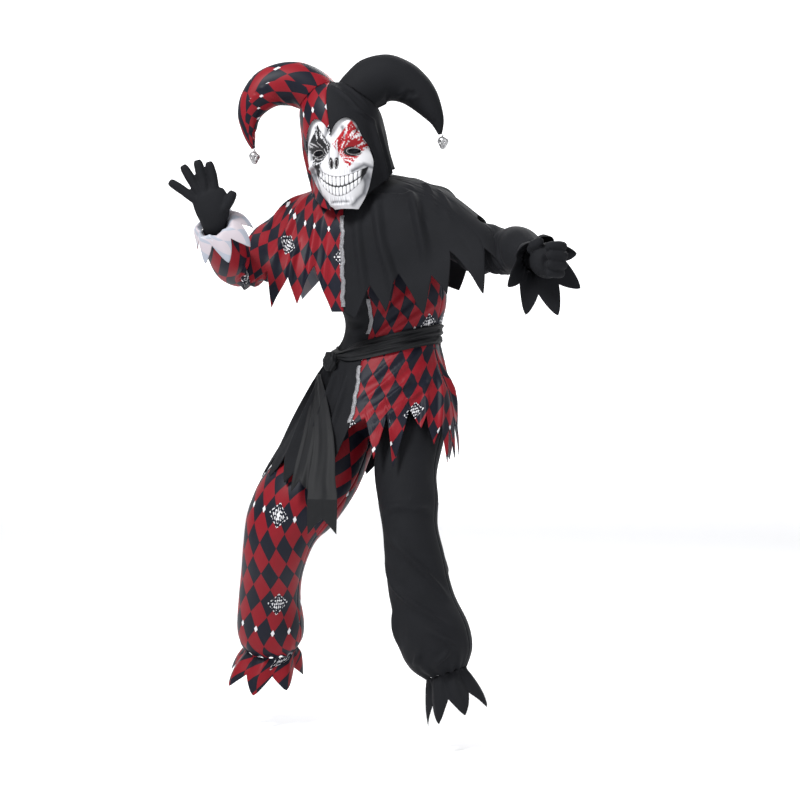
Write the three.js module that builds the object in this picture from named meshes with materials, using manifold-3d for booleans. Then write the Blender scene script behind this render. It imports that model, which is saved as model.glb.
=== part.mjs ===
// A child's two-colour jester costume, hollow, in the pose in which it is worn.
// Millimetres, +Z up. The origin is the base of the neck, where the costume hangs on the wearer.
// The chest faces -Y, turned towards -X. "Left" and "right" are the wearer's.
import * as THREE from 'three';
import { mergeVertices } from 'three/addons/utils/BufferGeometryUtils.js';
import Module from 'manifold-3d';

const wasm = await Module();
wasm.setup();

// Driving dimensions
const CLOTH = 1.6; // wall of the polyester cloth
const SASH_CLOTH = 1.6;
const GLOVE_CLOTH = 1.2;
const MASK_WALL = 2.2;
const BRAID_WIDTH = 9;
const SEAM_GAP = 0.3; // between two pieces that are sewn together
const CHEST_TURN = 25; // degrees, body towards -X
const HEAD_TURN = 15;
const ARMHOLE = { top: 2, bottom: 4, reach: 32 }; // rows of the tunic table, degrees each way
const RAD = Math.PI / 180;
const COLOURS = { print: 0x7a1a24, black: 0x1c1e22, sash: 0x3a3c42, silver: 0xb4b4b6, bone: 0xe9e9ec };

const v3 = (x, y, z) => new THREE.Vector3(x, y, z);
const UP = v3(0, 0, 1);
const leftOf = (turn) => v3(Math.cos(turn * RAD), -Math.sin(turn * RAD), 0);
const frontOf = (turn) => v3(-Math.sin(turn * RAD), -Math.cos(turn * RAD), 0);
const CHEST_LEFT = leftOf(CHEST_TURN);
const CHEST_FRONT = frontOf(CHEST_TURN);

const spread = (from, to, count) => Array.from({ length: count + 1 }, (_, i) => from + ((to - from) * i) / count);

// Smooth curve through a list of number lists, t from 0 to length - 1
function through(values, t) {
  const last = values.length - 1;
  const clamped = Math.min(Math.max(t, 0), last);
  const i = Math.min(Math.floor(clamped), last - 1);
  const f = clamped - i;
  const at = (k) => values[Math.min(Math.max(k, 0), last)];
  const [a, b, c, d] = [at(i - 1), at(i), at(i + 1), at(i + 2)];
  return b.map((_, n) => 0.5 * (
    2 * b[n] + (c[n] - a[n]) * f
    + (2 * a[n] - 5 * b[n] + 4 * c[n] - d[n]) * f * f
    + (3 * b[n] - a[n] - 3 * c[n] + d[n]) * f * f * f));
}

// Straight lines through a table of [angle, value] rows
function zigzag(table, degrees) {
  const k = table.findIndex(([angle]) => angle >= degrees);
  if (k === 0) return table[0][1];
  if (k < 0) return table[table.length - 1][1];
  const [[a, p], [b, q]] = [table[k - 1], table[k]];
  return p + ((q - p) * (degrees - a)) / (b - a);
}

// A ring is centre + a cos + b sin + saddle cos 2, kept as twelve numbers.
// Angle 0 is the wearer's left, 90 the front, 180 the right and 270 the back.
const ringOf = (centre, a, b, saddle = v3(0, 0, 0)) => [...centre, ...a, ...b, ...saddle];

function ringPoint(ring, degrees) {
  const t = degrees * RAD;
  const weights = [1, Math.cos(t), Math.sin(t), Math.cos(2 * t)];
  const sum = (axis) => weights.reduce((total, w, k) => total + w * ring[3 * k + axis], 0);
  return v3(sum(0), sum(1), sum(2));
}

// Ring through four points: left, front, right and back
function ringThrough({ left, front, right, back }) {
  const [l, f, r, b] = [left, front, right, back].map((p) => v3(...p));
  const half = (p, q) => p.clone().sub(q).multiplyScalar(0.5);
  const mean = l.clone().add(f).add(r).add(b).multiplyScalar(0.25);
  const saddle = l.clone().add(r).sub(f).sub(b).multiplyScalar(0.25);
  return ringOf(mean, half(l, r), half(f, b), saddle);
}

// Body ring from its centre, half width and the two half depths; dip lowers its front
function bodyRing({ x, y, z, half, front, back, turn = CHEST_TURN, dip = 0 }) {
  const middle = v3(x, y, z).addScaledVector(frontOf(turn), (front - back) / 2);
  const b = frontOf(turn).multiplyScalar((front + back) / 2).addScaledVector(UP, -dip);
  return ringOf(middle, leftOf(turn).multiplyScalar(half), b);
}

// Rings square to a limb's path; angle 0 leans to one direction and 90 to the other
function limbRings(rows, zero, quarter) {
  const centres = rows.map(({ x, y, z }) => [x, y, z]);
  let before = quarter;
  return rows.map(({ half, deep }, i) => {
    const ahead = v3(...through(centres, i + 0.5)).sub(v3(...through(centres, i - 0.5))).normalize();
    const a = zero.clone().addScaledVector(ahead, -zero.dot(ahead)).normalize();
    const b = a.clone().cross(ahead);
    if (b.dot(before) < 0) b.negate();
    before = b.clone();
    return ringOf(v3(...centres[i]), a.multiplyScalar(half), b.multiplyScalar(deep));
  });
}

// Row number at a height, for pieces that are placed by height
function alongAt(rows, z) {
  const k = rows.findIndex((row) => row.z <= z);
  if (k <= 0) return k < 0 ? rows.length - 1 : 0;
  return k - (z - rows[k].z) / (rows[k - 1].z - rows[k].z);
}

// Grids: a list of columns, each a list of points from one end to the other
function gridNormals(grid, closed) {
  const n = grid.length;
  const m = grid[0].length;
  const column = (i) => (closed ? grid[(i + n) % n] : grid[Math.min(Math.max(i, 0), n - 1)]);
  const normals = grid.map((points, i) => points.map((_, j) => {
    const across = column(i + 1)[j].clone().sub(column(i - 1)[j]);
    const along = points[Math.min(j + 1, m - 1)].clone().sub(points[Math.max(j - 1, 0)]);
    return across.cross(along);
  }));
  for (const j of [0, m - 1]) {
    const pole = normals.some((points) => points[j].length() < 1e-6);
    if (!pole) continue;
    const beside = j ? j - 1 : 1;
    const mean = normals.reduce((sum, points) => sum.add(points[beside]), v3(0, 0, 0));
    normals.forEach((points) => points[j].copy(mean));
  }
  normals.forEach((points) => points.forEach((normal) => normal.normalize()));
  return normals;
}

function moved(grid, distance, closed) {
  const normals = gridNormals(grid, closed);
  return grid.map((points, i) => points.map((p, j) => p.clone().addScaledVector(normals[i][j], distance)));
}

// Closed geometry from quads; quads that shrink to an edge are left out
function geometryOf(quads) {
  const positions = [];
  const push = (a, b, c) => {
    const area = b.clone().sub(a).cross(c.clone().sub(a)).length();
    if (area > 1e-4) positions.push(...a, ...b, ...c);
  };
  for (const [a, b, c, d] of quads) {
    push(a, b, c);
    push(a, c, d);
  }
  const raw = new THREE.BufferGeometry();
  raw.setAttribute('position', new THREE.Float32BufferAttribute(positions, 3));
  return outward(mergeVertices(raw, 1e-3));
}

function outward(geometry) {
  const index = [...geometry.index.array];
  const at = (k) => v3().fromBufferAttribute(geometry.attributes.position, index[k]);
  let six = 0;
  for (let k = 0; k < index.length; k += 3) six += at(k).dot(at(k + 1).cross(at(k + 2)));
  if (six > 0) return geometry;
  for (let k = 0; k < index.length; k += 3) [index[k + 1], index[k + 2]] = [index[k + 2], index[k + 1]];
  geometry.setIndex(index);
  return geometry;
}

// Cloth wall: the grid is its outer face; the inner face lies one thickness against the normals.
// Without normals of its own, the grid's are used. facing is 1 where the grid's point inwards.
function clothWall(grid, { thick = CLOTH, closed = false, facing = -1, normals } = {}) {
  const away = normals || gridNormals(grid, closed);
  const inner = grid.map((points, i) => points.map((p, j) => (
    p.clone().addScaledVector(away[i][j], facing * thick))));
  const quads = [];
  const last = grid[0].length - 1;
  const end = grid.length - 1;
  for (let i = 0; i < (closed ? end + 1 : end); i += 1) {
    const k = (i + 1) % grid.length;
    for (let j = 0; j < last; j += 1) {
      quads.push([grid[i][j], grid[k][j], grid[k][j + 1], grid[i][j + 1]]);
      quads.push([inner[i][j], inner[i][j + 1], inner[k][j + 1], inner[k][j]]);
    }
    quads.push([grid[i][0], inner[i][0], inner[k][0], grid[k][0]]);
    quads.push([grid[i][last], grid[k][last], inner[k][last], inner[i][last]]);
  }
  for (let j = 0; !closed && j < last; j += 1) {
    quads.push([grid[0][j], grid[0][j + 1], inner[0][j + 1], inner[0][j]]);
    quads.push([grid[end][j], inner[end][j], inner[end][j + 1], grid[end][j + 1]]);
  }
  return geometryOf(quads);
}

// Solid tube of closed rings, closed by a fan at each end
function solidTube(grid) {
  const quads = [];
  const last = grid[0].length - 1;
  const middle = (j) => grid.reduce((sum, points) => sum.add(points[j]), v3(0, 0, 0)).divideScalar(grid.length);
  const [first, final] = [middle(0), middle(last)];
  grid.forEach((points, i) => {
    const next = grid[(i + 1) % grid.length];
    for (let j = 0; j < last; j += 1) quads.push([points[j], next[j], next[j + 1], points[j + 1]]);
    quads.push([first, next[0], points[0], first]);
    quads.push([final, points[last], next[last], final]);
  });
  return geometryOf(quads);
}

// Booleans
function toSolid(geometry) {
  geometry.deleteAttribute('normal');
  geometry.deleteAttribute('uv');
  const merged = mergeVertices(geometry, 1e-3);
  return new wasm.Manifold(new wasm.Mesh({
    numProp: 3,
    vertProperties: new Float32Array(merged.attributes.position.array),
    triVerts: new Uint32Array(merged.index.array),
  }));
}

function fromSolid(solid) {
  const { vertProperties, triVerts } = solid.getMesh();
  const geometry = new THREE.BufferGeometry();
  geometry.setAttribute('position', new THREE.BufferAttribute(new Float32Array(vertProperties), 3));
  geometry.setIndex([...triVerts]);
  return geometry;
}

const united = (geometries) => geometries.map(toSolid).reduce((sum, solid) => sum.add(solid));

const costume = new THREE.Group();

function add(name, geometry, colour, metalness = 0) {
  const material = new THREE.MeshStandardMaterial({ color: colour, roughness: metalness ? 0.35 : 0.85, metalness });
  const mesh = new THREE.Mesh(geometry, material);
  mesh.name = name;
  costume.add(mesh);
}

// Outward normal of a surface at an angle and row number
function surfaceNormal(surface, degrees, along) {
  const across = surface(degrees + 1, along).sub(surface(degrees - 1, along));
  const down = surface(degrees, along + 0.04).sub(surface(degrees, along - 0.04));
  return across.cross(down).normalize();
}

// Wall through [angle, row number, towards] places of a surface, column by column.
// At a seam, towards is the way into the panel: the point stands back by half the seam gap.
function surfaceWall(surface, places, options = {}) {
  const grid = places.map((column) => column.map(([degrees, along, towards = 0]) => {
    const point = surface(degrees, along);
    if (!towards) return point;
    const within = surface(degrees + towards, along).sub(point);
    return point.addScaledVector(within.normalize(), SEAM_GAP / 2);
  }));
  const normals = places.map((column) => column.map(([degrees, along]) => surfaceNormal(surface, degrees, along)));
  return clothWall(grid, { ...options, normals });
}

// Places of a panel between the first and last of some angles, from its top to row end(angle)
function panelPlaces(angles, top, end, steps) {
  const last = angles.length - 1;
  const inwards = Math.sign(angles[last] - angles[0]);
  return angles.map((degrees, i) => {
    const towards = i === 0 ? inwards : i === last ? -inwards : 0;
    return steps.map((s) => [degrees, top + (end(degrees) - top) * s, towards]);
  });
}

// Hood: a dome of two halves with a centre seam, from the crown to the hem over the cape
const HOOD_ROWS = [
  { x: -66, y: -58, z: 216, half: 0, front: 0, back: 0, turn: 15 },
  { x: -64, y: -58, z: 208, half: 36, front: 42, back: 44, turn: 15 },
  { x: -60, y: -58, z: 190, half: 62, front: 74, back: 76, turn: 15 },
  { x: -54, y: -58, z: 156, half: 85, front: 98, back: 100, turn: 15 },
  { x: -46, y: -58, z: 112, half: 91, front: 107, back: 106, turn: 15 },
  { x: -37, y: -57, z: 66, half: 92, front: 106, back: 102, turn: 16 },
  { x: -28, y: -50, z: 24, half: 93, front: 98, back: 116, turn: 18 },
  { x: -22, y: -38, z: -14, half: 97, front: 98, back: 150, turn: 20 },
  { x: -17, y: -28, z: -46, half: 106, front: 108, back: 170, turn: 22 },
  { x: -14, y: -22, z: -76, half: 116, front: 118, back: 180, turn: 24 },
];
const HOOD_HEM = [
  [-90, 5.85], [-45, 5.75], [0, 5.9], [45, 7.2], [70, 8.4], [90, 8.8], [110, 8.4], [135, 7.6], [180, 6.6], [225, 5.95],
  [270, 5.85]];
const HOOD_UPPER = [0, 0.6, 1.2, 1.8, 2.4, 3, 3.7, 4.4, 5];
const hoodRings = HOOD_ROWS.map(bodyRing);
const hoodSurface = (degrees, along) => ringPoint(through(hoodRings, along), degrees);
const HEAD_LEFT = leftOf(HEAD_TURN);
const HEAD_FRONT = frontOf(HEAD_TURN);
const FACE_ORIGIN = v3(-48, -58, 0);

function hoodHalf(from, away) {
  const angles = spread(from, from + 180, 12);
  const alongs = (degrees) => {
    const lower = [0.34, 0.67, 1].map((s) => 5 + (zigzag(HOOD_HEM, degrees) - 5) * s);
    return [...HOOD_UPPER, ...lower];
  };
  const grid = angles.map((degrees, i) => alongs(degrees).map((along, j) => {
    const point = hoodSurface(degrees, along);
    const edge = i === 0 || i === angles.length - 1 || j === 0;
    return edge ? point.addScaledVector(HEAD_LEFT, (away * SEAM_GAP) / 2) : point;
  }));
  const normals = angles.map((degrees) => alongs(degrees).map((along) => (
    along ? surfaceNormal(hoodSurface, degrees, along) : UP)));
  return clothWall(grid, { normals });
}

// Prism through the face, from an outline of [across, height] points
function facePrism(outline, depth = 200) {
  const shape = new THREE.Shape(outline.map(([u, z]) => new THREE.Vector2(u, z)));
  const prism = new THREE.ExtrudeGeometry(shape, { depth, bevelEnabled: false });
  prism.applyMatrix4(new THREE.Matrix4().makeBasis(HEAD_LEFT, UP, HEAD_FRONT));
  const { x, y, z } = FACE_ORIGIN.clone().addScaledVector(HEAD_FRONT, 20);
  prism.translate(x, y, z);
  return outward(mergeVertices(prism.deleteAttribute('normal').deleteAttribute('uv'), 1e-3));
}

// Face opening as [across, height]: an M over the brow with a peak in the middle, open below the chin
const FACE_OPENING = [
  [4, 84], [16, 110], [36, 124], [54, 114], [67, 86], [80, 62], [86, 40], [77, 10], [72, -22], [64, -48], [60, -130],
  [-2, -130], [-8, -48], [-26, -22], [-42, 8], [-58, 38], [-62, 62], [-57, 86], [-46, 110], [-29, 122], [-8, 110]];
const faceCut = toSolid(facePrism(FACE_OPENING));
for (const [name, from, away, colour] of [
  ['hood_left', -90, 1, COLOURS.black], ['hood_right', 90, -1, COLOURS.print]]) {
  const wall = toSolid(hoodHalf(from, away));
  add(name, fromSolid(wall.subtract(faceCut)), colour);
}

// Horns: stuffed tubes that curl outwards and down, their base cut to the dome of the hood
const HORN_RIGHT_ROWS = [
  { x: -78, y: -58, z: 168, half: 46, deep: 42 },
  { x: -110, y: -58, z: 196, half: 48, deep: 47 },
  { x: -144, y: -58, z: 211, half: 46, deep: 48 },
  { x: -180, y: -59, z: 211, half: 43, deep: 46 },
  { x: -213, y: -60, z: 199, half: 38, deep: 42 },
  { x: -238, y: -61, z: 172, half: 32, deep: 34 },
  { x: -250, y: -62, z: 142, half: 24, deep: 25 },
  { x: -250, y: -63, z: 112, half: 16, deep: 16 },
  { x: -246, y: -64, z: 88, half: 9, deep: 9 },
  { x: -240, y: -64, z: 71, half: 4, deep: 4 },
];
const HORN_LEFT_ROWS = [
  { x: -36, y: -58, z: 168, half: 48, deep: 44 },
  { x: -8, y: -58, z: 196, half: 50, deep: 50 },
  { x: 20, y: -58, z: 217, half: 49, deep: 54 },
  { x: 50, y: -58, z: 225, half: 47, deep: 51 },
  { x: 83, y: -58, z: 217, half: 43, deep: 45 },
  { x: 109, y: -59, z: 200, half: 38, deep: 39 },
  { x: 129, y: -60, z: 179, half: 32, deep: 33 },
  { x: 146, y: -61, z: 154, half: 24, deep: 24 },
  { x: 159, y: -62, z: 128, half: 13, deep: 14 },
  { x: 164, y: -62, z: 102, half: 4, deep: 4 },
];
const dome = spread(-90, 270, 24).slice(0, -1).map((degrees) => HOOD_UPPER.map((along) => hoodSurface(degrees, along)));
const domeSolid = toSolid(solidTube(moved(dome, SEAM_GAP, true)));
const tubeTurns = (count) => spread(0, 360, count).slice(0, -1);

for (const [name, rows, colour] of [
  ['horn_right', HORN_RIGHT_ROWS, COLOURS.print], ['horn_left', HORN_LEFT_ROWS, COLOURS.black]]) {
  const tube = (inset, count) => {
    const rings = limbRings(rows.map((row) => ({ ...row, half: row.half - inset, deep: row.deep - inset })),
      HEAD_FRONT, UP);
    return solidTube(tubeTurns(10).map((turn) => spread(0, count, count).map((t) => ringPoint(rings[t], turn))));
  };
  const shell = toSolid(tube(0, rows.length - 1)).subtract(toSolid(tube(CLOTH, rows.length - 2)));
  add(name, fromSolid(shell.subtract(domeSolid)), colour);
}

// Charms: small cast skulls that hang from the horn tips by a stem
function charm(name, x, y, z) {
  const cranium = new THREE.SphereGeometry(13, 10, 7);
  const jaw = new THREE.CylinderGeometry(7.5, 6, 13, 8).rotateX(Math.PI / 2).translate(0, -3, -10);
  const stem = new THREE.CylinderGeometry(2.2, 3, 7, 6).rotateX(Math.PI / 2).translate(0, 0, 13);
  const eye = (side) => new THREE.SphereGeometry(3.2, 6, 4).translate(side * 4.8, -12, -1.5);
  const solid = united([cranium, jaw, stem]).subtract(united([eye(-1), eye(1)]));
  add(name, fromSolid(solid).rotateZ(-0.25).translate(x, y, z), COLOURS.silver, 0.8);
}
charm('charm_right', -238, -64, 53);
charm('charm_left', 170, -62, 86);

// Mask: a shell over the face, from under the hood's brow to below the chin, with holes to see through
const MASK_ROWS = [
  { x: -52, y: -58, z: 138, half: 74, front: 88, edge: 38 },
  { x: -48, y: -58, z: 118, half: 79, front: 99, edge: 50 },
  { x: -43, y: -58, z: 92, half: 80, front: 101, edge: 56 },
  { x: -39, y: -58, z: 62, half: 80, front: 104, edge: 60 },
  { x: -34, y: -58, z: 34, half: 82, front: 110, edge: 62 },
  { x: -29, y: -57, z: 6, half: 78, front: 114, edge: 58 },
  { x: -24, y: -55, z: -22, half: 70, front: 115, edge: 54 },
  { x: -19, y: -53, z: -46, half: 58, front: 112, edge: 48 },
  { x: -14, y: -51, z: -68, half: 42, front: 104, edge: 38 },
];
const maskRings = MASK_ROWS.map((row) => bodyRing({ ...row, back: 80, turn: HEAD_TURN }));
const maskEdges = MASK_ROWS.map(({ edge }) => [edge]);
const maskSurface = (share, along) => {
  const degrees = 90 - share * through(maskEdges, along)[0];
  return ringPoint(through(maskRings, along), degrees);
};
const oval = (u, z, wide, high, count) => spread(0, 360, count).slice(0, -1).map((turn) => [
  u + (wide / 2) * Math.cos(turn * RAD), z + (high / 2) * Math.sin(turn * RAD)]);
{
  const grid = spread(1, -1, 10).map((share) => spread(0, 8, 9).map((along) => maskSurface(share, along)));
  let shell = toSolid(clothWall(grid, { thick: MASK_WALL }));
  const holes = [oval(50, 54, 27, 14, 12), oval(-28, 51, 27, 14, 12), oval(7.5, 25, 7, 17, 8), oval(18.5, 26, 7, 17, 8)];
  for (const hole of holes) shell = shell.subtract(toSolid(facePrism(hole)));
  add('mask', fromSolid(shell), COLOURS.bone);
}

// Cape, worn over the shoulders: a ring through four points for each row
const CAPE_ROWS = [
  { left: [50, -30, 16], front: [-26, -48, -14], right: [-50, 30, 8], back: [28, 52, 27] },
  { left: [110, -61, 4], front: [-42, -90, -46], right: [-112, 54, -3], back: [40, 98, 2] },
  { left: [174, -92, -24], front: [-46, -116, -95], right: [-158, 60, -26], back: [48, 124, -56] },
  { left: [236, -130, -74], front: [-46, -124, -150], right: [-206, 50, -66], back: [60, 134, -125] },
  { left: [286, -170, -122], front: [-45, -128, -205], right: [-254, -30, -118], back: [74, 140, -190] },
  { left: [304, -210, -182], front: [-44, -130, -262], right: [-268, -76, -190], back: [86, 142, -260] },
  { left: [312, -220, -240], front: [-43, -130, -322], right: [-274, -86, -256], back: [90, 142, -330] },
];
const capeRings = CAPE_ROWS.map(ringThrough);
const capeSurface = (degrees, along) => ringPoint(through(capeRings, along), degrees);

// Hem of the cape as [angle, row number] of each notch and tip
const CAPE_HEM_LEFT = [
  [0, 3.1], [8, 3.25], [13, 4.99], [22, 4.36], [27.5, 5.95], [41, 4], [46, 5.47], [52, 4.66], [57, 5.95], [66, 4.24],
  [72.5, 5.5], [78.5, 4.51], [85, 5.59], [90, 5.35]];
const CAPE_HEM_RIGHT = [
  [90, 5.35], [95, 5.35], [104, 3.73], [111, 5.23], [116.5, 4.39], [124.5, 5.53], [129, 4.39], [140, 5.05], [151, 4.2],
  [164, 3.61], [180, 3.2]];
const CAPE_HEM_BACK = [
  [180, 3.2], [190, 3.3], [199, 3.6], [208, 4.4], [216, 4.2], [224, 5.3], [233, 4.5], [242, 5.3], [251, 4.5],
  [260, 5.3], [270, 4.6], [280, 5.3], [289, 4.4], [298, 4.8], [307, 4.1], [316, 4.4], [325, 3.7], [334, 4],
  [343, 3.4], [352, 3.25], [360, 3.1]];
const CAPE_STEPS = [0, 0.2, 0.38, 0.54, 0.68, 0.8, 0.9, 1];
for (const [name, hem, from, to, colour] of [
  ['cape_front_left', CAPE_HEM_LEFT, 0, 90, COLOURS.black],
  ['cape_front_right', CAPE_HEM_RIGHT, 90, 180, COLOURS.print],
  ['cape_back_right', CAPE_HEM_BACK, 180, 270, COLOURS.print],
  ['cape_back_left', CAPE_HEM_BACK, 270, 360, COLOURS.black]]) {
  const angles = hem.map(([angle]) => angle).filter((angle) => angle >= from && angle <= to);
  add(name, surfaceWall(capeSurface, panelPlaces(angles, 0, (angle) => zigzag(hem, angle), CAPE_STEPS)), colour);
}

// Tunic with its skirt: rows from the neck to the skirt's hem
const TUNIC_ROWS = [
  { x: 1, y: 0, z: -8, half: 58, front: 54, back: 56, turn: 28, dip: 22 },
  { x: 4, y: 4, z: -18, half: 100, front: 70, back: 70, turn: 28, dip: 12 },
  { x: 8, y: 6, z: -30, half: 142, front: 88, back: 86, turn: 28, dip: 6 },
  { x: 14, y: 8, z: -82, half: 152, front: 100, back: 100, turn: 28 },
  { x: 26, y: 12, z: -140, half: 144, front: 104, back: 100, turn: 28 },
  { x: 59, y: 14, z: -240, half: 131, front: 106, back: 92, turn: 30 },
  { x: 66, y: 18, z: -297, half: 113, front: 100, back: 90, turn: 31 },
  { x: 56, y: 20, z: -342, half: 112, front: 96, back: 92, turn: 31 },
  { x: 43, y: 16, z: -400, half: 137, front: 108, back: 106, turn: 29 },
  { x: 35, y: 4, z: -460, half: 164, front: 122, back: 124, turn: 25 },
  { x: 15, y: -30, z: -540, half: 193, front: 130, back: 142, turn: 22 },
  { x: -13, y: -66, z: -640, half: 226, front: 134, back: 154, turn: 20 },
  { x: -20, y: -80, z: -680, half: 234, front: 136, back: 160, turn: 20 },
];
const tunicRings = TUNIC_ROWS.map(bodyRing);
const tunicSurface = (degrees, along) => ringPoint(through(tunicRings, along), degrees);

// Hem of the skirt as [angle, row number] of each notch and tip
const SKIRT_HEM = [
  [0, 9.9], [6, 10.53], [11, 9.81], [17, 10.62], [21.5, 9.84], [29.5, 10.26], [36, 9.63], [40, 9.93], [48.5, 9.42],
  [58.5, 10.71], [65, 9.63], [70.5, 10.53], [80, 9.66], [90, 9.9], [95, 10.77], [100, 10.3], [106, 11.22], [114, 10.56],
  [123, 11.13], [133, 10.5], [142, 11.1], [150, 10.5], [158, 11], [167, 10.5], [175, 10.9], [180, 10.6], [190, 10.4],
  [200, 11], [210, 10.4], [220, 11], [230, 10.4], [240, 11], [250, 10.4], [260, 11], [270, 10.3], [280, 10.9],
  [290, 10.3], [300, 10.9], [310, 10.2], [320, 10.6], [330, 9.9], [340, 10.5], [350, 9.7], [360, 9.9]];

// Armhole: an oval in angle and row number about the middle of each side
const armholeMiddle = (ARMHOLE.top + ARMHOLE.bottom) / 2;
const armholeReach = (turn) => ARMHOLE.reach * Math.sin(turn * RAD);
const armholeAlong = (turn) => armholeMiddle - ((ARMHOLE.bottom - ARMHOLE.top) / 2) * Math.cos(turn * RAD);
const SLEEVE_COLUMNS = 12;
const armholeRows = spread(0, 180, SLEEVE_COLUMNS / 2).map((turn) => [armholeReach(turn), armholeAlong(turn)]);
const TUNIC_UPPER = [
  [0, 0], [0, 1], ...armholeRows, [0, 4.6], [0, 5.2], [0, 6], [0, 6.8], [0, 7.4], [0, 8], [0, 8.6]];
const SKIRT_TOP = 8.6;

// Panel from a side seam to a centre seam. Its side is notched by the armhole, its hem by the points.
function tunicPanel(name, side, middle, colour) {
  const towards = Math.sign(middle - side);
  const angles = SKIRT_HEM.map(([angle]) => angle)
    .filter((angle) => (angle - side) * towards >= 0 && (middle - angle) * towards >= 0);
  if (towards < 0) angles.reverse();
  const last = angles.length - 1;
  const armholeEnds = [2, 2 + SLEEVE_COLUMNS / 2];
  const places = angles.map((angle, i) => {
    const even = side + ((middle - side) * i) / last;
    const upper = TUNIC_UPPER.map(([reach, along]) => [even + (1 - i / last) * towards * reach, along]);
    const lower = [0.34, 0.67, 1].map((s) => [
      even + (angle - even) * s, SKIRT_TOP + (zigzag(SKIRT_HEM, angle) - SKIRT_TOP) * s]);
    return [...upper, ...lower].map(([degrees, along], j) => {
      const armhole = i === 0 && j > armholeEnds[0] && j < armholeEnds[1];
      const seam = armhole ? 0 : (i === 0) - (i === last);
      return [degrees, along, seam * towards];
    });
  });
  add(name, surfaceWall(tunicSurface, places), colour);
}
tunicPanel('tunic_front_left', 0, 90, COLOURS.print);
tunicPanel('tunic_front_right', 180, 90, COLOURS.black);
tunicPanel('tunic_back_right', 180, 270, COLOURS.black);
tunicPanel('tunic_back_left', 360, 270, COLOURS.print);

// Silver braid: a strip over the centre seam, its middle raised like the cord it is woven from
function braid(name, surface, angle, steps) {
  const grid = [-1, 0, 1].map((way) => steps.map((along) => {
    const middle = surface(angle, along);
    if (!way) return middle;
    const beside = surface(angle + way, along).sub(middle).normalize();
    return middle.addScaledVector(beside, BRAID_WIDTH / 2);
  }));
  add(name, clothWall(moved(grid, 1.9, false), { thick: 1.1 }), COLOURS.silver);
}
braid('braid_cape', capeSurface, 90, [1.7, 2.03, 2.89, 3.64, 4.28, 4.81, 5.2]);
braid('braid_waist', tunicSurface, 90, [5.2, 6, 6.75]);
braid('braid_skirt', tunicSurface, 90, [8, 8.6, 9.04, 9.47, 9.8]);

// Sleeves: from the armhole along the arm to the elastic at the wrist
const SLEEVE_LEFT_ROWS = [
  { x: 180, y: -86, z: -106, half: 52, deep: 46 },
  { x: 222, y: -116, z: -136, half: 50, deep: 42 },
  { x: 263, y: -134, z: -150, half: 52, deep: 33 },
  { x: 296, y: -168, z: -159, half: 47, deep: 34 },
  { x: 314, y: -225, z: -162, half: 50, deep: 36 },
  { x: 326, y: -272, z: -168, half: 48, deep: 42 },
  { x: 342, y: -312, z: -182, half: 39, deep: 37 },
  { x: 350, y: -332, z: -187, half: 30, deep: 30 },
];
const SLEEVE_RIGHT_ROWS = [
  { x: -151, y: 34, z: -112, half: 46, deep: 41 },
  { x: -190, y: -3, z: -137, half: 45, deep: 34 },
  { x: -228, y: -28, z: -166, half: 45, deep: 34 },
  { x: -264, y: -44, z: -182, half: 45, deep: 32 },
  { x: -286, y: -88, z: -177, half: 46, deep: 36 },
  { x: -288, y: -138, z: -158, half: 45, deep: 45 },
  { x: -299, y: -180, z: -133, half: 38, deep: 38 },
  { x: -309, y: -204, z: -113, half: 30, deep: 30 },
];
const SLEEVE_STEPS = [0, 0.5, 1, 1.7, 2.4, 3, 3.6, 4.2, 5, 6, 7, 8];

// Sleeve turn 0 is on top, 90 in front. towards is the way that angles grow to the front.
function sleeveOf(rows, side, towards) {
  const limb = limbRings(rows, UP, CHEST_FRONT);
  const heart = tunicSurface(side, armholeMiddle);
  const surface = (turn, along) => {
    if (along >= 1) return ringPoint(through(limb, along - 1), turn);
    const edge = tunicSurface(side + towards * armholeReach(turn), armholeAlong(turn));
    edge.addScaledVector(heart.clone().sub(edge).normalize(), SEAM_GAP);
    const away = ringPoint(limb[0], turn).sub(edge);
    edge.addScaledVector(away.clone().normalize(), SEAM_GAP * (1 - along));
    return edge.addScaledVector(away, along);
  };
  return { limb, surface };
}
const sleeveLeft = sleeveOf(SLEEVE_LEFT_ROWS, 0, 1);
const sleeveRight = sleeveOf(SLEEVE_RIGHT_ROWS, 180, -1);
for (const [name, { surface }, facing, colour] of [
  ['sleeve_left', sleeveLeft, -1, COLOURS.black], ['sleeve_right', sleeveRight, 1, COLOURS.print]]) {
  const grid = tubeTurns(SLEEVE_COLUMNS).map((turn) => SLEEVE_STEPS.map((along) => surface(turn, along)));
  add(name, clothWall(grid, { closed: true, facing }), colour);
}

// Frill beyond an elastic: rings that widen from the gathered edge, the hem cut into points.
// The cloth waves in and out once for each point. The first ring is the end of the sleeve or leg.
function frill(name, limb, rows, { points, notch, tip, wave, facing, colour }) {
  const end = limb[limb.length - 1];
  const before = limb[limb.length - 2];
  const [a, b] = [v3(...end.slice(3, 6)), v3(...end.slice(6, 9))];
  const centre = v3(...end.slice(0, 3));
  const ahead = centre.clone().sub(v3(...before.slice(0, 3))).normalize();
  const start = ringOf(centre.addScaledVector(ahead, SEAM_GAP * 1.3), a, b);
  const rings = [start, ...rows.map(({ x, y, z, half, deep = half }) => ringOf(
    v3(x, y, z), a.clone().setLength(half), b.clone().setLength(deep)))];
  const grid = tubeTurns(points * 4).map((turn, i) => {
    const hem = [tip, (tip + notch) / 2, notch, (tip + notch) / 2][i % 4];
    const swell = Math.cos((i * Math.PI) / 2);
    return [0, 0.3, 0.65, 1].map((s) => {
      const ring = through(rings, hem * s);
      const point = ringPoint(ring, turn);
      const outwards = point.clone().sub(v3(ring[0], ring[1], ring[2])).normalize();
      return point.addScaledVector(outwards, wave * swell * Math.min(1, hem * s));
    });
  });
  add(name, clothWall(grid, { closed: true, facing, thick: 1.2 }), colour);
}

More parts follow.
